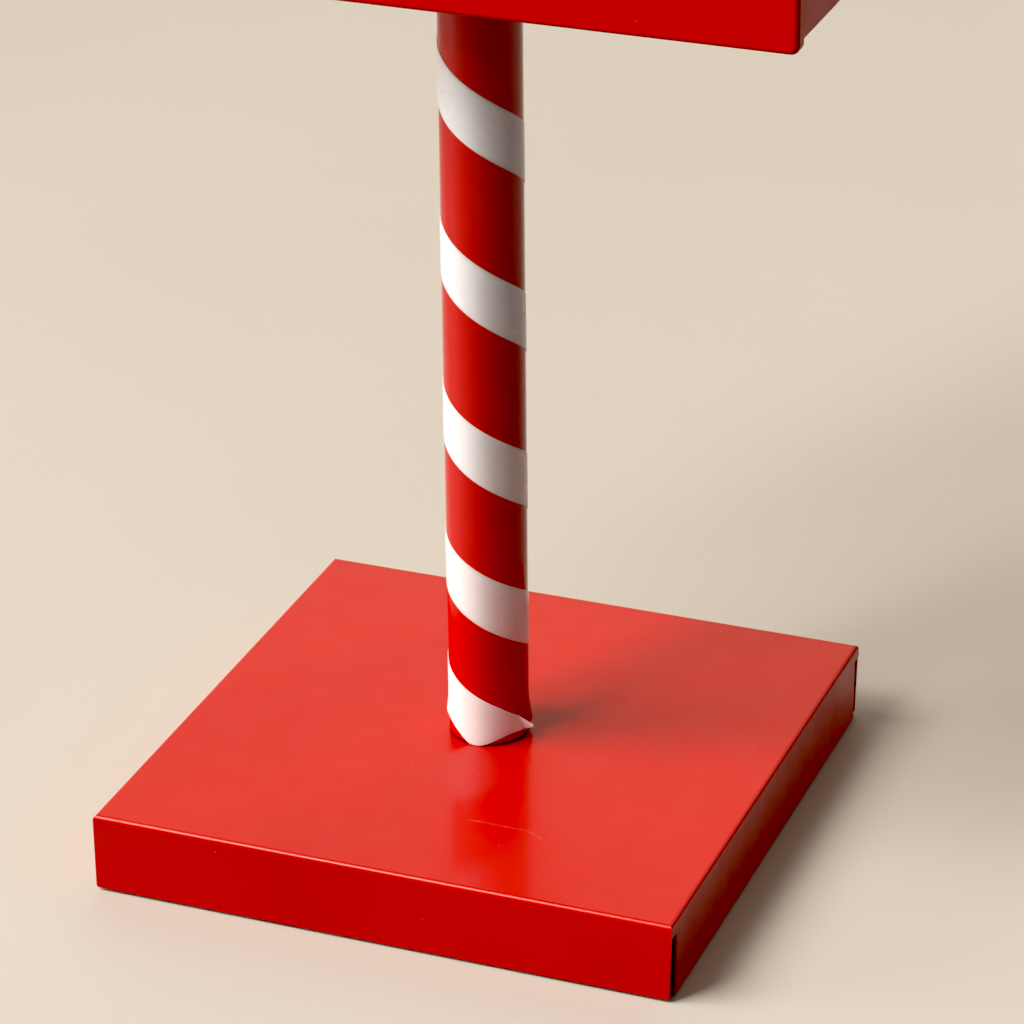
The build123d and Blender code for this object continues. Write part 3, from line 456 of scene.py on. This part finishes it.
def gloss_film():
    """Red self-adhesive film."""
    made, tree, shader = new_finish("red_gloss_film", IOR=1.5, Specular_IOR_Level=0.55)
    where = place(tree)
    dark = specks(tree, where, 85.0, 0.06, 0.10)
    pale = specks(tree, where, 70.0, 0.05, 0.07)
    colour = blend_colours(tree, sums(tree, "MULTIPLY", dark, 0.8), RED_FILM, FILM_POINT_DARK)
    colour = blend_colours(tree, sums(tree, "MULTIPLY", pale, 0.7), colour, FILM_POINT_PALE)
    # painted shadow along the foot: the film is darkened towards its lower edge, with a ragged top to the
    # dark band
    height = add(tree, "SeparateXYZ", {"Vector": where}).outputs["Z"]
    ragged = sums(tree, "MULTIPLY", grain(tree, where, 120.0, 3.0), 1.5 * MM)
    above = sums(tree, "SUBTRACT", height, ragged)
    painted_contact_shade = between(tree, above, foot_top, foot_top + PAINTED_SHADE_HEIGHT, 0.85, 0.0)
    colour = blend_colours(tree, painted_contact_shade, colour, PAINTED_CONTACT_SHADE)
    smear = grain(tree, place(tree, (60, 60, 5)), 1.0, 4.0)
    dent = grain(tree, place(tree, (1, 1, 0.35)), 60.0, 2.0)
    feed(
        tree, shader, Base_Color=colour,
        Roughness=between(tree, smear, 0.3, 0.7, 0.13, 0.24),
        Normal=bumps(tree, dent, 0.00006, bumps(tree, sums(tree, "ADD", dark, pale), 0.00004)),
    )
    return made


red_film_finish = gloss_film()
print("made", red_film_finish.name)


# %% White tape
WHITE_VINYL = (0.86, 0.85, 0.86)
VINYL_DIRT = (0.55, 0.47, 0.40)


def vinyl():
    """White tape. Its mesh keeps, in the layer named edge, how near each point is to the tape's edge."""
    made, tree, shader = new_finish(
        "white_vinyl_tape", IOR=1.46, Specular_IOR_Level=0.5, Subsurface_Weight=0.08,
        Subsurface_Radius=(0.8 * MM, 0.6 * MM, 0.5 * MM),
    )
    where = place(tree)
    edge = add(tree, "Attribute", attribute_name="edge").outputs["Fac"]
    cloud = grain(tree, where, 40.0, 5.0, 0.65)
    near_edge = between(tree, edge, 0.55, 1.0, 0.0, 0.8)
    dirt = sums(tree, "MULTIPLY", near_edge, between(tree, cloud, 0.35, 0.7))
    points = specks(tree, where, 90.0, 0.05, 0.08)
    dirt = sums(tree, "MAXIMUM", dirt, sums(tree, "MULTIPLY", points, 0.6))
    colour = blend_colours(tree, dirt, WHITE_VINYL, VINYL_DIRT)
    pull = grain(tree, place(tree, (1, 1, 4)), 45.0, 3.0)
    feed(
        tree, shader, Base_Color=colour,
        Roughness=between(tree, cloud, 0.3, 0.7, 0.20, 0.34),
        Normal=bumps(tree, pull, 0.00005),
    )
    return made


white_vinyl = vinyl()
print("made", white_vinyl.name)

# %% [markdown]
# ## Metals
# Most fittings are zinc plated steel, which is grey, a little blue or yellow, and blotchy. The window ring
# and the lock are nickel plated and polished. The clockwork is brass, brushed one way and slightly
# tarnished. Springs and levers are blued steel. One helper makes all of them: a metal colour, a second
# colour in clouds, brush lines that run along one axis, and small pits. The brushing has to be much finer
# than a plank's grain, or brass looks like wood.

# %% Metal finishes
BRUSH_CELLS = 2600.0
PIT_CELLS = 260.0
MICRON = 0.000001


def metal(name, first, second, roughness, brush, depth, clouds, pits):
    """A metal with clouds of a second colour and brush lines. Brush makes the lines longer or finer."""
    made, tree, shader = new_finish(name, Metallic=1.0)
    where = place(tree)
    cloud = grain(tree, where, clouds, 5.0, 0.6)
    colour = blend_colours(tree, between(tree, cloud, 0.32, 0.68), first, second)
    streak = grain(tree, place(tree, brush), BRUSH_CELLS, 2.0)
    pit = specks(tree, where, PIT_CELLS, 0.12, pits)
    in_pit = tuple(v * 0.35 for v in second)
    colour = blend_colours(tree, sums(tree, "MULTIPLY", pit, 0.6), colour, in_pit)
    rough = between(tree, streak, 0.3, 0.7, roughness - 0.03, roughness + 0.05)
    rough = sums(tree, "ADD", rough, sums(tree, "MULTIPLY", pit, 0.3))
    feed(tree, shader, Base_Color=colour, Roughness=rough, Normal=bumps(tree, streak, depth * MICRON))
    return made


# name, colour, second colour, roughness, brush, bumps in microns, clouds in a metre, share of pitted cells
METALS = [
    ("zinc_plate", (0.62, 0.63, 0.64), (0.50, 0.52, 0.56), 0.34, (1, 1, 1), 4, 60.0, 0.05),
    ("zinc_sheet", (0.60, 0.61, 0.61), (0.50, 0.52, 0.55), 0.42, (1, 1, 1), 4, 35.0, 0.03),
    ("nickel_plate", (0.72, 0.69, 0.64), (0.66, 0.62, 0.57), 0.15, (0.2, 1, 1), 2, 18.0, 0.03),
    ("brass", (0.79, 0.58, 0.27), (0.75, 0.53, 0.23), 0.24, (0.2, 3, 3), 0.5, 9.0, 0.02),
    ("bell_metal", (0.74, 0.60, 0.38), (0.58, 0.43, 0.24), 0.20, (1, 0.3, 1), 3, 22.0, 0.05),
    ("blued_spring_steel", (0.16, 0.17, 0.22), (0.24, 0.20, 0.17), 0.30, (1, 1, 0.15), 3, 40.0, 0.02),
    ("contact_silver", (0.80, 0.78, 0.74), (0.58, 0.54, 0.48), 0.28, (0.15, 1, 1), 3, 80.0, 0.05),
]
zinc, galvanised, nickel, brass, gong_metal, blued, silver = [metal(*facts) for facts in METALS]
print("made", len(METALS), "metals")

# %% [markdown]
# ## Enamel, rubber, plastic and glass
# The handle and the sign are white vitreous enamel: glassy, faintly wavy, with a few dark pinholes. Rubber
# is dull and dusty. Black plastic has a fine moulded grain. The hammer is dipped in red plastic and rubbed
# at its high spots. The glass is clear with a green cast and a trace of wiping.

# %% Plain opaque finishes
def coat_of(name, first, second, roughness, grain_scale, depth, clouds, points, dots, **more):
    """A finish with clouds of a second colour, grain and dots. Points is the share of cells with a dot."""
    made, tree, shader = new_finish(name, **more)
    where = place(tree)
    cloud = grain(tree, where, clouds, 5.0, 0.6)
    colour = blend_colours(tree, between(tree, cloud, 0.35, 0.7), first, second)
    dot = specks(tree, where, 150.0, 0.07, points)
    colour = blend_colours(tree, sums(tree, "MULTIPLY", dot, 0.7), colour, dots)
    tooth = grain(tree, where, grain_scale, 2.0)
    feed(
        tree, shader, Base_Color=colour,
        Roughness=between(tree, cloud, 0.3, 0.7, roughness - 0.05, roughness + 0.06),
        Normal=bumps(tree, tooth, depth),
    )
    return made


enamel = coat_of(
    "white_enamel", (0.84, 0.83, 0.79), (0.78, 0.76, 0.70), 0.14, 90.0, 0.00004, 15.0, 0.05,
    (0.10, 0.09, 0.08), Coat_Weight=0.5, Coat_Roughness=0.06,
)
rubber = coat_of(
    "black_rubber", (0.035, 0.034, 0.033), (0.075, 0.070, 0.065), 0.72, 900.0, 0.00004, 30.0, 0.15,
    (0.20, 0.18, 0.16),
)
plastic = coat_of(
    "black_plastic", (0.022, 0.022, 0.024), (0.035, 0.034, 0.034), 0.42, 1400.0, 0.00002, 20.0, 0.08,
    (0.18, 0.17, 0.15),
)
hammer_skin = coat_of(
    "red_dipped_plastic", (0.55, 0.012, 0.010), (0.68, 0.035, 0.025), 0.34, 350.0, 0.00003, 45.0, 0.10,
    (0.75, 0.45, 0.40),
)
print("made enamel, rubber and two plastics")


# %% Glass and floor
GLASS_TINT = (0.93, 0.98, 0.95, 1)
FLOOR_DEEP = (0.55, 0.51, 0.455)
FLOOR_PALE = (0.58, 0.54, 0.485)


def clear_glass():
    """Thin plate glass."""
    made, tree, shader = new_finish(
        "break_glass", Base_Color=GLASS_TINT, IOR=1.5, Transmission_Weight=1.0
    )
    where = place(tree)
    wipe = grain(tree, place(tree, (1, 1, 0.3)), 18.0, 5.0, 0.65)
    ripple = grain(tree, where, 12.0, 1.0)
    feed(
        tree, shader, Roughness=between(tree, wipe, 0.45, 0.8, 0.0, 0.10),
        Normal=bumps(tree, ripple, 0.00003),
    )
    return made


glass = clear_glass()


def floor_finish():
    """Pale plain floor with the faintest unevenness."""
    made, tree, shader = new_finish("pale_floor", Specular_IOR_Level=0.25)
    where = place(tree)
    cloud = grain(tree, where, 1.2, 4.0)
    tooth = grain(tree, where, 300.0, 2.0)
    feed(
        tree, shader,
        Base_Color=blend_colours(tree, between(tree, cloud, 0.3, 0.7), FLOOR_DEEP, FLOOR_PALE),
        Roughness=between(tree, cloud, 0.3, 0.7, 0.5, 0.6),
        Normal=bumps(tree, tooth, 0.00002),
    )
    return made


floor.data.materials.append(floor_finish())
print("made", glass.name, "and", floor.data.materials[0].name)

# %% [markdown]
# ## Who wears what
# Every piece that comes from the CAD model gets its finish here, sorted by finish. Three of them, the film,
# the tape and the return spring, are replaced further down by better meshes, but keep a finish like the
# others.

# %% Give the CAD pieces their finishes
WEARS = {
    foot_coat: ["base_cover"],
    box_coat: ["box_body", "door_panel", "hood_shell"],
    galvanised: ["ballast_plate", "hood_soffit", "mounting_plate", "head_stiffener", "post_tube"],
    zinc: [
        "post_plugs", "post_bolts", "bolt_washers", "plate_standoffs", "plate_screws", "hood_brackets",
        "hood_screws", "hinge_box_leaves", "hinge_pins", "hinge_door_leaves", "guide_pillars",
        "movement_pillars", "gong_pillars", "terminal_screws", "window_keeper", "sign_rivets", "lock_nut",
        "lock_cam", "cover_stud",
    ],
    rubber: ["rubber_feet", "door_seal", "window_seal"],
    nickel: [
        "window_ring", "window_screws", "lock_barrel", "lock_plug", "keyhole_cover", "gland_locknut",
        "hammer_clips",
    ],
    brass: [
        "movement_front_plate", "movement_back_plate", "spring_barrel", "second_wheel", "code_wheel",
        "governor_fan", "guide_plate",
    ],
    gong_metal: ["gong"],
    blued: ["return_spring", "trip_lever", "slider_rod", "gong_striker"],
    silver: ["contact_finger"],
    glass: ["window_glass"],
    enamel: ["pull_handle", "sign_plate"],
    plastic: ["cable_gland", "contact_block", "terminal_block"],
    hammer_skin: ["glass_hammer"],
    red_film_finish: ["red_wrap"],
    white_vinyl: ["white_tape"],
}
for finish, names in WEARS.items():
    for name in names:
        nodes[name].data.materials.clear()
        nodes[name].data.materials.append(finish)
dressed = {name for names in WEARS.values() for name in names}
print(len(dressed), "pieces dressed; without a finish:", sorted(set(nodes) - dressed))

# %% [markdown]
# ## The film on the post
# Film is a thin skin, so it follows the tube exactly and only tells of itself where it comes loose. At the
# foot, on the right, its lower edge has been pulled off the steel and flares out by the thickness of a
# coin. Behind the post, where nobody looks, the two ends of the film overlap in an upright seam.
#
# The skin is a grid of points round and up the post. One function says how far each point stands off the
# tube, and the tape uses the same function, so that the two never cut into each other. Cloth simulation
# could make such a flare too, but it takes longer and its shape is harder to steer.

# %% Shapes shared by film and tape
FILM_R = post_r + 0.21 * MM
LOOSE_TOP = 66 * MM
LOOSE_REACH = 17 * MM
LOOSE_OUT = 1.9 * MM
LOOSE_MIDDLE = math.radians(14)
LOOSE_WIDTH = math.radians(48)
CREASE_TOP, CREASE_FOOT = -22.5, -13.0


def smooth(value, low, high):
    """0 below low, 1 above high and a soft step between."""
    share = min(1.0, max(0.0, (value - low) / (high - low)))
    return share * share * (3 - 2 * share)


def along(knots, value):
    """Height on a smooth curve through knots, which are pairs of place and height."""
    last = len(knots) - 1
    k = 0
    while k < last - 1 and value > knots[k + 1][0]:
        k += 1
    (x0, y0), (x1, y1) = knots[k], knots[k + 1]
    before = knots[k - 1] if k > 0 else (2 * x0 - x1, 2 * y0 - y1)
    after = knots[k + 2] if k + 2 <= last else (2 * x1 - x0, 2 * y1 - y0)
    slope_0 = (y1 - before[1]) / (x1 - before[0])
    slope_1 = (after[1] - y0) / (after[0] - x0)
    span = x1 - x0
    t = min(1.0, max(0.0, (value - x0) / span))
    rise = (2 * t ** 3 - 3 * t ** 2 + 1) * y0 + (-2 * t ** 3 + 3 * t ** 2) * y1
    return rise + span * ((t ** 3 - 2 * t ** 2 + t) * slope_0 + (t ** 3 - t ** 2) * slope_1)


def loose(angle, height):
    """How far the film stands off the tube at its loose foot."""
    round_share = max(0.0, 1 - ((angle - LOOSE_MIDDLE) / LOOSE_WIDTH) ** 2)
    up_share = min(1.0, max(0.0, (LOOSE_TOP - height) / LOOSE_REACH))
    return LOOSE_OUT * round_share ** 1.5 * up_share ** 1.8


def half_turn(angle):
    """The same angle, between minus and plus half a turn."""
    return (angle + math.pi) % (2 * math.pi) - math.pi


print("film radius", round(FILM_R / MM, 2), "mm")

# %% [markdown]
# ### Lower edges at the foot
# Two curves go round the post, as pairs of an angle in degrees and a height in millimetres. Angle 0 is on
# the right and -90 in front. The first is the edge along which the tape was trimmed, and the second is
# the film's own loose edge, which goes on past the tape's end.

# %% Edges of tape and film at the foot
FOOT_EDGE = [
    (-165, 55.4), (-150, 54.0), (-144, 53.0), (-134, 50.5), (-122, 48.0), (-113, 46.0), (-105, 44.0),
    (-99, 42.6), (-92, 42.2), (-82, 42.3), (-72, 43.3), (-64, 44.5), (-53, 46.0), (-40, 47.4), (-25, 48.0),
    (-13, 47.9),
]
FREE_EDGE = [(-13, 47.9), (5, 48.6), (25, 48.4), (45, 46.0), (62, 42.2)]
LIFT_STARTS, LIFT_ENDS = -77, 62


def film_edge(angle):
    """Height of the loose film's lower edge."""
    degrees = math.degrees(angle)
    if degrees < LIFT_STARTS or degrees > LIFT_ENDS:
        return foot_top
    knots = FOOT_EDGE if degrees < CREASE_FOOT else FREE_EDGE
    return along(knots, degrees) * MM


print("the trimmed edge is", round(min(h for _, h in FOOT_EDGE) - foot_top / MM, 1), "mm above the foot")


# %% A grid of points as an object
def grid_object(name, rows):
    """Smooth object from rows of points. Every row has as many points, and its ends are joined."""
    count = len(rows[0])
    points = [p for row in rows for p in row]
    faces = []
    for k in range(len(rows) - 1):
        for n in range(count):
            m = (n + 1) % count
            faces.append((k * count + n, k * count + m, (k + 1) * count + m, (k + 1) * count + n))
    mesh = bpy.data.meshes.new(name)
    mesh.from_pydata(points, [], faces)
    for face in mesh.polygons:
        face.use_smooth = True
    return put(name, mesh)


print("helper: grid_object")

# %% Make the film
FILM_BOTTOM = foot_top + 0.1 * MM
FILM_TOP = box_bottom - 0.1 * MM
SEAM_ANGLE = math.radians(112)
SEAM_STEP = 0.12 * MM
SEAM_WIDTH = 9 * MM
FOOT_ROW, POST_ROW = 0.3 * MM, 4 * MM
FILM_COLUMNS = 300
NUDGE = 0.0001


def film_heights():
    """Heights of the film's rows: close together at the loose foot, wider apart above it."""
    heights = [FILM_BOTTOM]
    while heights[-1] < LOOSE_TOP + 2 * MM:
        heights.append(heights[-1] + FOOT_ROW)
    while heights[-1] < FILM_TOP - 5 * MM:
        heights.append(heights[-1] + POST_ROW)
    return heights + [FILM_TOP]


def film_radius(angle, height):
    """Distance of the film from the post's axis."""
    r = FILM_R
    if height > film_edge(angle):
        r += loose(angle, height)
    past = half_turn(angle - SEAM_ANGLE) * post_r
    if 0 <= past < SEAM_WIDTH:
        r += SEAM_STEP * (1 - past / SEAM_WIDTH)
    return r


def film_rows():
    """Rows of points round the post, from the foot up to the box. Each starts at the seam."""
    rows = []
    for height in film_heights():
        row = []
        for n in range(FILM_COLUMNS):
            angle = half_turn(2 * math.pi * n / FILM_COLUMNS + SEAM_ANGLE + NUDGE)
            r = film_radius(angle, height)
            row.append((r * math.cos(angle), r * math.sin(angle), height))
        rows.append(row)
    return rows


film = grid_object("red_film_on_post", film_rows())
film.data.materials.append(red_film_finish)
film.data.set_sharp_from_angle(angle=math.radians(40))
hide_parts("red_wrap")
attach(film, "box")
print("film has", len(film.data.vertices), "points")

# %% [markdown]
# ## The white tape
# Somebody wound the tape by hand, so its turns aren't even: they close up towards the foot. Seven heights
# and a smooth curve through them say where its middle runs. Five are where the tape crosses the front. The
# other two lie above the box's lower edge, where the tape is cut off, and only carry the curve past it.
# At the foot the tape was trimmed along the plate, and its last corner has come away and folded outwards.
#
# The tape is a closed band: an outer face, an inner face and rounded edges a third of a millimetre thick.
# The folded corner is a small ear that is added at the end of the band. A flat strip with a bend modifier
# would wind as well, but it can't follow the loose film underneath.

# %% Where the tape runs
TAPE_CROSSINGS = [(0, 51.0), (1, 122.0), (2, 200.0), (3, 286.3), (4, 373.9), (5, 460.0), (6, 547.0)]
CROSSING_ANGLE = -65.0
TAPE_HALF = 15.0
TAPE_INNER = FILM_R + 0.01 * MM
TAPE_THICK = 0.30 * MM
TAPE_DROOP = 1.6
FOOT_PITCH = 66
# across the band: share of the width, and 0 for the inner face to 1 for the outer
PROFILE = [
    (0.0, 0.0), (0.0, 0.55), (0.006, 0.9), (0.016, 1.0), (0.25, 1.0), (0.5, 1.0), (0.75, 1.0), (0.984, 1.0),
    (0.994, 0.9), (1.0, 0.55), (1.0, 0.0), (0.75, 0.0), (0.5, 0.0), (0.25, 0.0),
]


def tape_edges(degrees):
    """Lower and upper edge of the tape, in millimetres. Degrees grow downwards along the tape."""
    turn = (CROSSING_ANGLE - degrees) / 360
    middle = along(TAPE_CROSSINGS, turn)
    if turn < 0:
        middle = TAPE_CROSSINGS[0][1] + turn * FOOT_PITCH
    low = middle - TAPE_HALF
    if degrees > FOOT_EDGE[0][0]:
        low = along(FOOT_EDGE, min(degrees, CREASE_FOOT))
    return low, middle + TAPE_HALF - TAPE_DROOP * smooth(degrees, -62, -20)


def tape_lift(degrees, share):
    """How far the tape stands off the film. Share is 0 at its lower edge and 1 at its upper one."""
    left = math.exp(-(((degrees + 150) / 13) ** 2)) * max(0.0, 1 - share / 0.35) ** 2
    end = smooth(degrees, -50, -14) * max(0.0, 1 - share) * 0.5
    return (left + end) * MM


crossings_seen = [height for _, height in TAPE_CROSSINGS if height * MM < box_bottom]
print("the tape crosses the front", len(crossings_seen), "times below the box")

# %% Points and rows of the band
TAPE_STEP = 2.5
TURNS_UP = 5.05
BOX_GAP = 0.3
WAVE_DEPTH = 0.05 * MM
CREASE_ROWS = 4


def tape_point(degrees, share, out):
    """Point on the tape's band. Out is 0 on its inner face and 1 on its outer face."""
    roof = box_bottom / MM - BOX_GAP
    low, high = (min(edge, roof) for edge in tape_edges(degrees))
    height = (low + (high - low) * share) * MM
    angle = math.radians(degrees)
    flare = loose(half_turn(angle), height) if degrees > -180 else 0.0
    r = TAPE_INNER + flare + tape_lift(degrees, share) + out * TAPE_THICK
    wave = noise.noise(Vector((degrees / 14, share * 1.5, 3.0))) * WAVE_DEPTH
    r += max(0.0, wave) * out
    return Vector((r * math.cos(angle), r * math.sin(angle), height))


def band_rows():
    """Rows of points across the tape, from under the box down to the crease."""
    degrees = CROSSING_ANGLE - 360 * TURNS_UP
    rows = []
    while degrees < CREASE_TOP - 6:
        rows.append([tape_point(degrees, share, out) for share, out in PROFILE])
        degrees += TAPE_STEP
    start = degrees
    for k in range(CREASE_ROWS + 1):
        row = []
        for share, out in PROFILE:
            stop = CREASE_TOP * share + CREASE_FOOT * (1 - share)
            row.append(tape_point(start + (stop - start) * k / CREASE_ROWS, share, out))
        rows.append(row)
    return rows


band = band_rows()
print("the band has", len(band), "rows")

# %% The folded corner
EAR_TIP_RADIUS = 28.0 * MM
EAR_TIP_ANGLE = math.radians(-16.2)
EAR_TIP_HEIGHT = 52.2 * MM
EAR_ROWS = 6
EAR_TIP_WIDTH = 1.2 * MM
EAR_BOW = 0.35 * MM
EAR_SWELL = 0.2 * MM
EAR_SIDE = Vector((0.62, -0.78, 0))


def ear_rows(last_row):
    """Rows of points from the crease out to the tip of the folded corner, which bows a little."""
    across = EAR_TIP_RADIUS * math.cos(EAR_TIP_ANGLE), EAR_TIP_RADIUS * math.sin(EAR_TIP_ANGLE)
    tip = Vector((*across, EAR_TIP_HEIGHT))
    rows = []
    for k in range(1, EAR_ROWS + 1):
        t = k / EAR_ROWS
        bow = math.sin(math.pi * t) * EAR_BOW
        row = []
        for (share, out), start in zip(PROFILE, last_row):
            point = start.lerp(tip + Vector((0, 0, (share - 0.5) * EAR_TIP_WIDTH)), t)
            row.append(point + EAR_SIDE * (bow + (out - 0.5) * EAR_SWELL * t * (1 - t)))
        rows.append(row)
    return rows


tape_rows = band + ear_rows(band[-1])
print("the ear has", EAR_ROWS, "rows")

# %% Make the tape
EDGE_POWER = 6
tape = grid_object("white_tape_on_post", tape_rows)
edge_layer = tape.data.attributes.new("edge", "FLOAT", "POINT")
nearness = [abs(share * 2 - 1) ** EDGE_POWER for share, _ in PROFILE]
edge_layer.data.foreach_set("value", nearness * len(tape_rows))
tape.data.set_sharp_from_angle(angle=math.radians(35))
tape.data.materials.append(white_vinyl)
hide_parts("white_tape")
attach(tape, "box")
print("tape has", len(tape.data.vertices), "points")

# %% [markdown]
# ## What is painted on the sign
# A fire alarm box says, in some way that needs no reading, what to do: an arrow points from the sign to the
# handle behind the glass. On enamel signs the red is fired on as a second layer, so it stands a hair proud
# of the white. A line runs round the sign inside its rivets. No letters are used, so the sign fits any
# country.
#
# Both shapes are flat outlines, filled and given that thin layer as their thickness. Colour could tell red
# from white without any shape, but a fired layer catches the light at its rim.

# %% Outlines on the sign
SIGN_LAYER = 0.10 * MM
sign_low, sign_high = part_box("sign_plate")
sign_face = sign_low.y
sign_x = (sign_low.x + sign_high.x) / 2
sign_z = (sign_low.z + sign_high.z) / 2
sign_half_x = (sign_high.x - sign_low.x) / 2
sign_half_z = (sign_high.z - sign_low.z) / 2


def rounded_outline(half_x, half_z, r, steps=10):
    """Points round a rectangle with round corners, in X and Z."""
    points = []
    for k, (sx, sz) in enumerate(((1, 1), (-1, 1), (-1, -1), (1, -1))):
        for n in range(steps + 1):
            angle = math.pi / 2 * (k + n / steps)
            points.append((
                sx * (half_x - r) + r * math.cos(angle), sz * (half_z - r) + r * math.sin(angle),
            ))
    return points


print("sign is", round(2 * sign_half_x / MM), "by", round(2 * sign_half_z / MM), "mm")


# %% A thin layer as an object
def layer_object(name, outer, inner=None):
    """Thin layer on the sign: the area inside outer, less the area inside inner."""
    work = bmesh.new()
    back, front = sign_face, sign_face - SIGN_LAYER

    def ring(points, y):
        return [work.verts.new((sign_x + x, y, sign_z + z)) for x, z in points]

    def wall(first, second):
        for n in range(len(first)):
            m = (n + 1) % len(first)
            work.faces.new((first[n], first[m], second[m], second[n]))

    outer_back, outer_front = ring(outer, back), ring(outer, front)
    wall(outer_back, outer_front)
    if inner is None:
        work.faces.new(outer_front)
        work.faces.new(outer_back)
    else:
        inner_back, inner_front = ring(inner, back), ring(inner, front)
        wall(inner_front, inner_back)
        wall(outer_front, inner_front)
        wall(inner_back, outer_back)
    bmesh.ops.recalc_face_normals(work, faces=work.faces)
    mesh = bpy.data.meshes.new(name)
    work.to_mesh(mesh)
    work.free()
    return put(name, mesh)


print("layer is", round(SIGN_LAYER / MM, 2), "mm thick")

# %% Paint the sign
LINE_IN, LINE_WIDE, LINE_CORNER = 4.0 * MM, 1.6 * MM, 5.5 * MM
line = layer_object(
    "sign_border",
    *(
        rounded_outline(sign_half_x - LINE_IN - step, sign_half_z - LINE_IN - step, LINE_CORNER - step)
        for step in (0, LINE_WIDE)
    ),
)
# in millimetres, from the middle of the sign
ARROW = [(-5, -20), (5, -20), (5, 2), (15, 2), (0, 21), (-15, 2), (-5, 2)]
arrow = layer_object("sign_arrow", [(x * MM, z * MM) for x, z in ARROW])
red_enamel = coat_of(
    "red_sign_enamel", (0.60, 0.012, 0.008), (0.50, 0.008, 0.006), 0.16, 90.0, 0.00003, 20.0, 0.06,
    (0.16, 0.0, 0.0), Coat_Weight=0.5, Coat_Roughness=0.06,
)
for piece in (line, arrow):
    piece.data.materials.append(red_enamel)
    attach(piece, "door")
print("sign painted with", line.name, "and", arrow.name)

# %% [markdown]
# ## Return spring
# This coil spring stands on a shelf of the guide plate and pushes the handle back up. The CAD spring is
# rigid, so the slider would sink into it when the handle goes down. Here the coil is built again as a mesh
# of its own, which nothing in this file squashes; a curve with a bevel would give the same coil.

# %% Coil spring
SPRING_WIRE = 0.8 * MM
SPRING_TURNS = 8
WIRE_SIDES = 10
STEPS_IN_TURN = 36
FLAT_PITCH = 2.05 * SPRING_WIRE
UP = Vector((0, 0, 1))
spring_low, spring_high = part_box("return_spring")


def coil_height(turn):
    """Height of the wire's middle. The first and the last turn lie flat on their neighbours."""
    low, high = spring_low.z + SPRING_WIRE, spring_high.z - SPRING_WIRE
    if turn < 1:
        return low + FLAT_PITCH * turn
    if turn > SPRING_TURNS - 1:
        return high - FLAT_PITCH * (SPRING_TURNS - turn)
    return low + FLAT_PITCH + (high - low - 2 * FLAT_PITCH) * (turn - 1) / (SPRING_TURNS - 2)


def coil_spring():
    """Round wire along the helix. Its two ends taper almost to a point, which closes them."""
    middle = (spring_low + spring_high) / 2
    reach = (spring_high.x - spring_low.x) / 2 - SPRING_WIRE
    last = SPRING_TURNS * STEPS_IN_TURN
    ring = [math.tau * side / WIRE_SIDES for side in range(WIRE_SIDES)]
    rows = []
    for step in range(last + 1):
        turn = step / STEPS_IN_TURN
        out = Vector((math.cos(math.tau * turn), math.sin(math.tau * turn), 0))
        centre = Vector((middle.x, middle.y, coil_height(turn))) + out * reach
        thick = SPRING_WIRE if 0 < step < last else SPRING_WIRE * 0.05
        rows.append([centre + (out * math.cos(u) - UP * math.sin(u)) * thick for u in ring])
    return grid_object("coil_return_spring", rows)


spring = coil_spring()
spring.data.materials.append(blued)
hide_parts("return_spring")
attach(spring, "box")
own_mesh(spring)
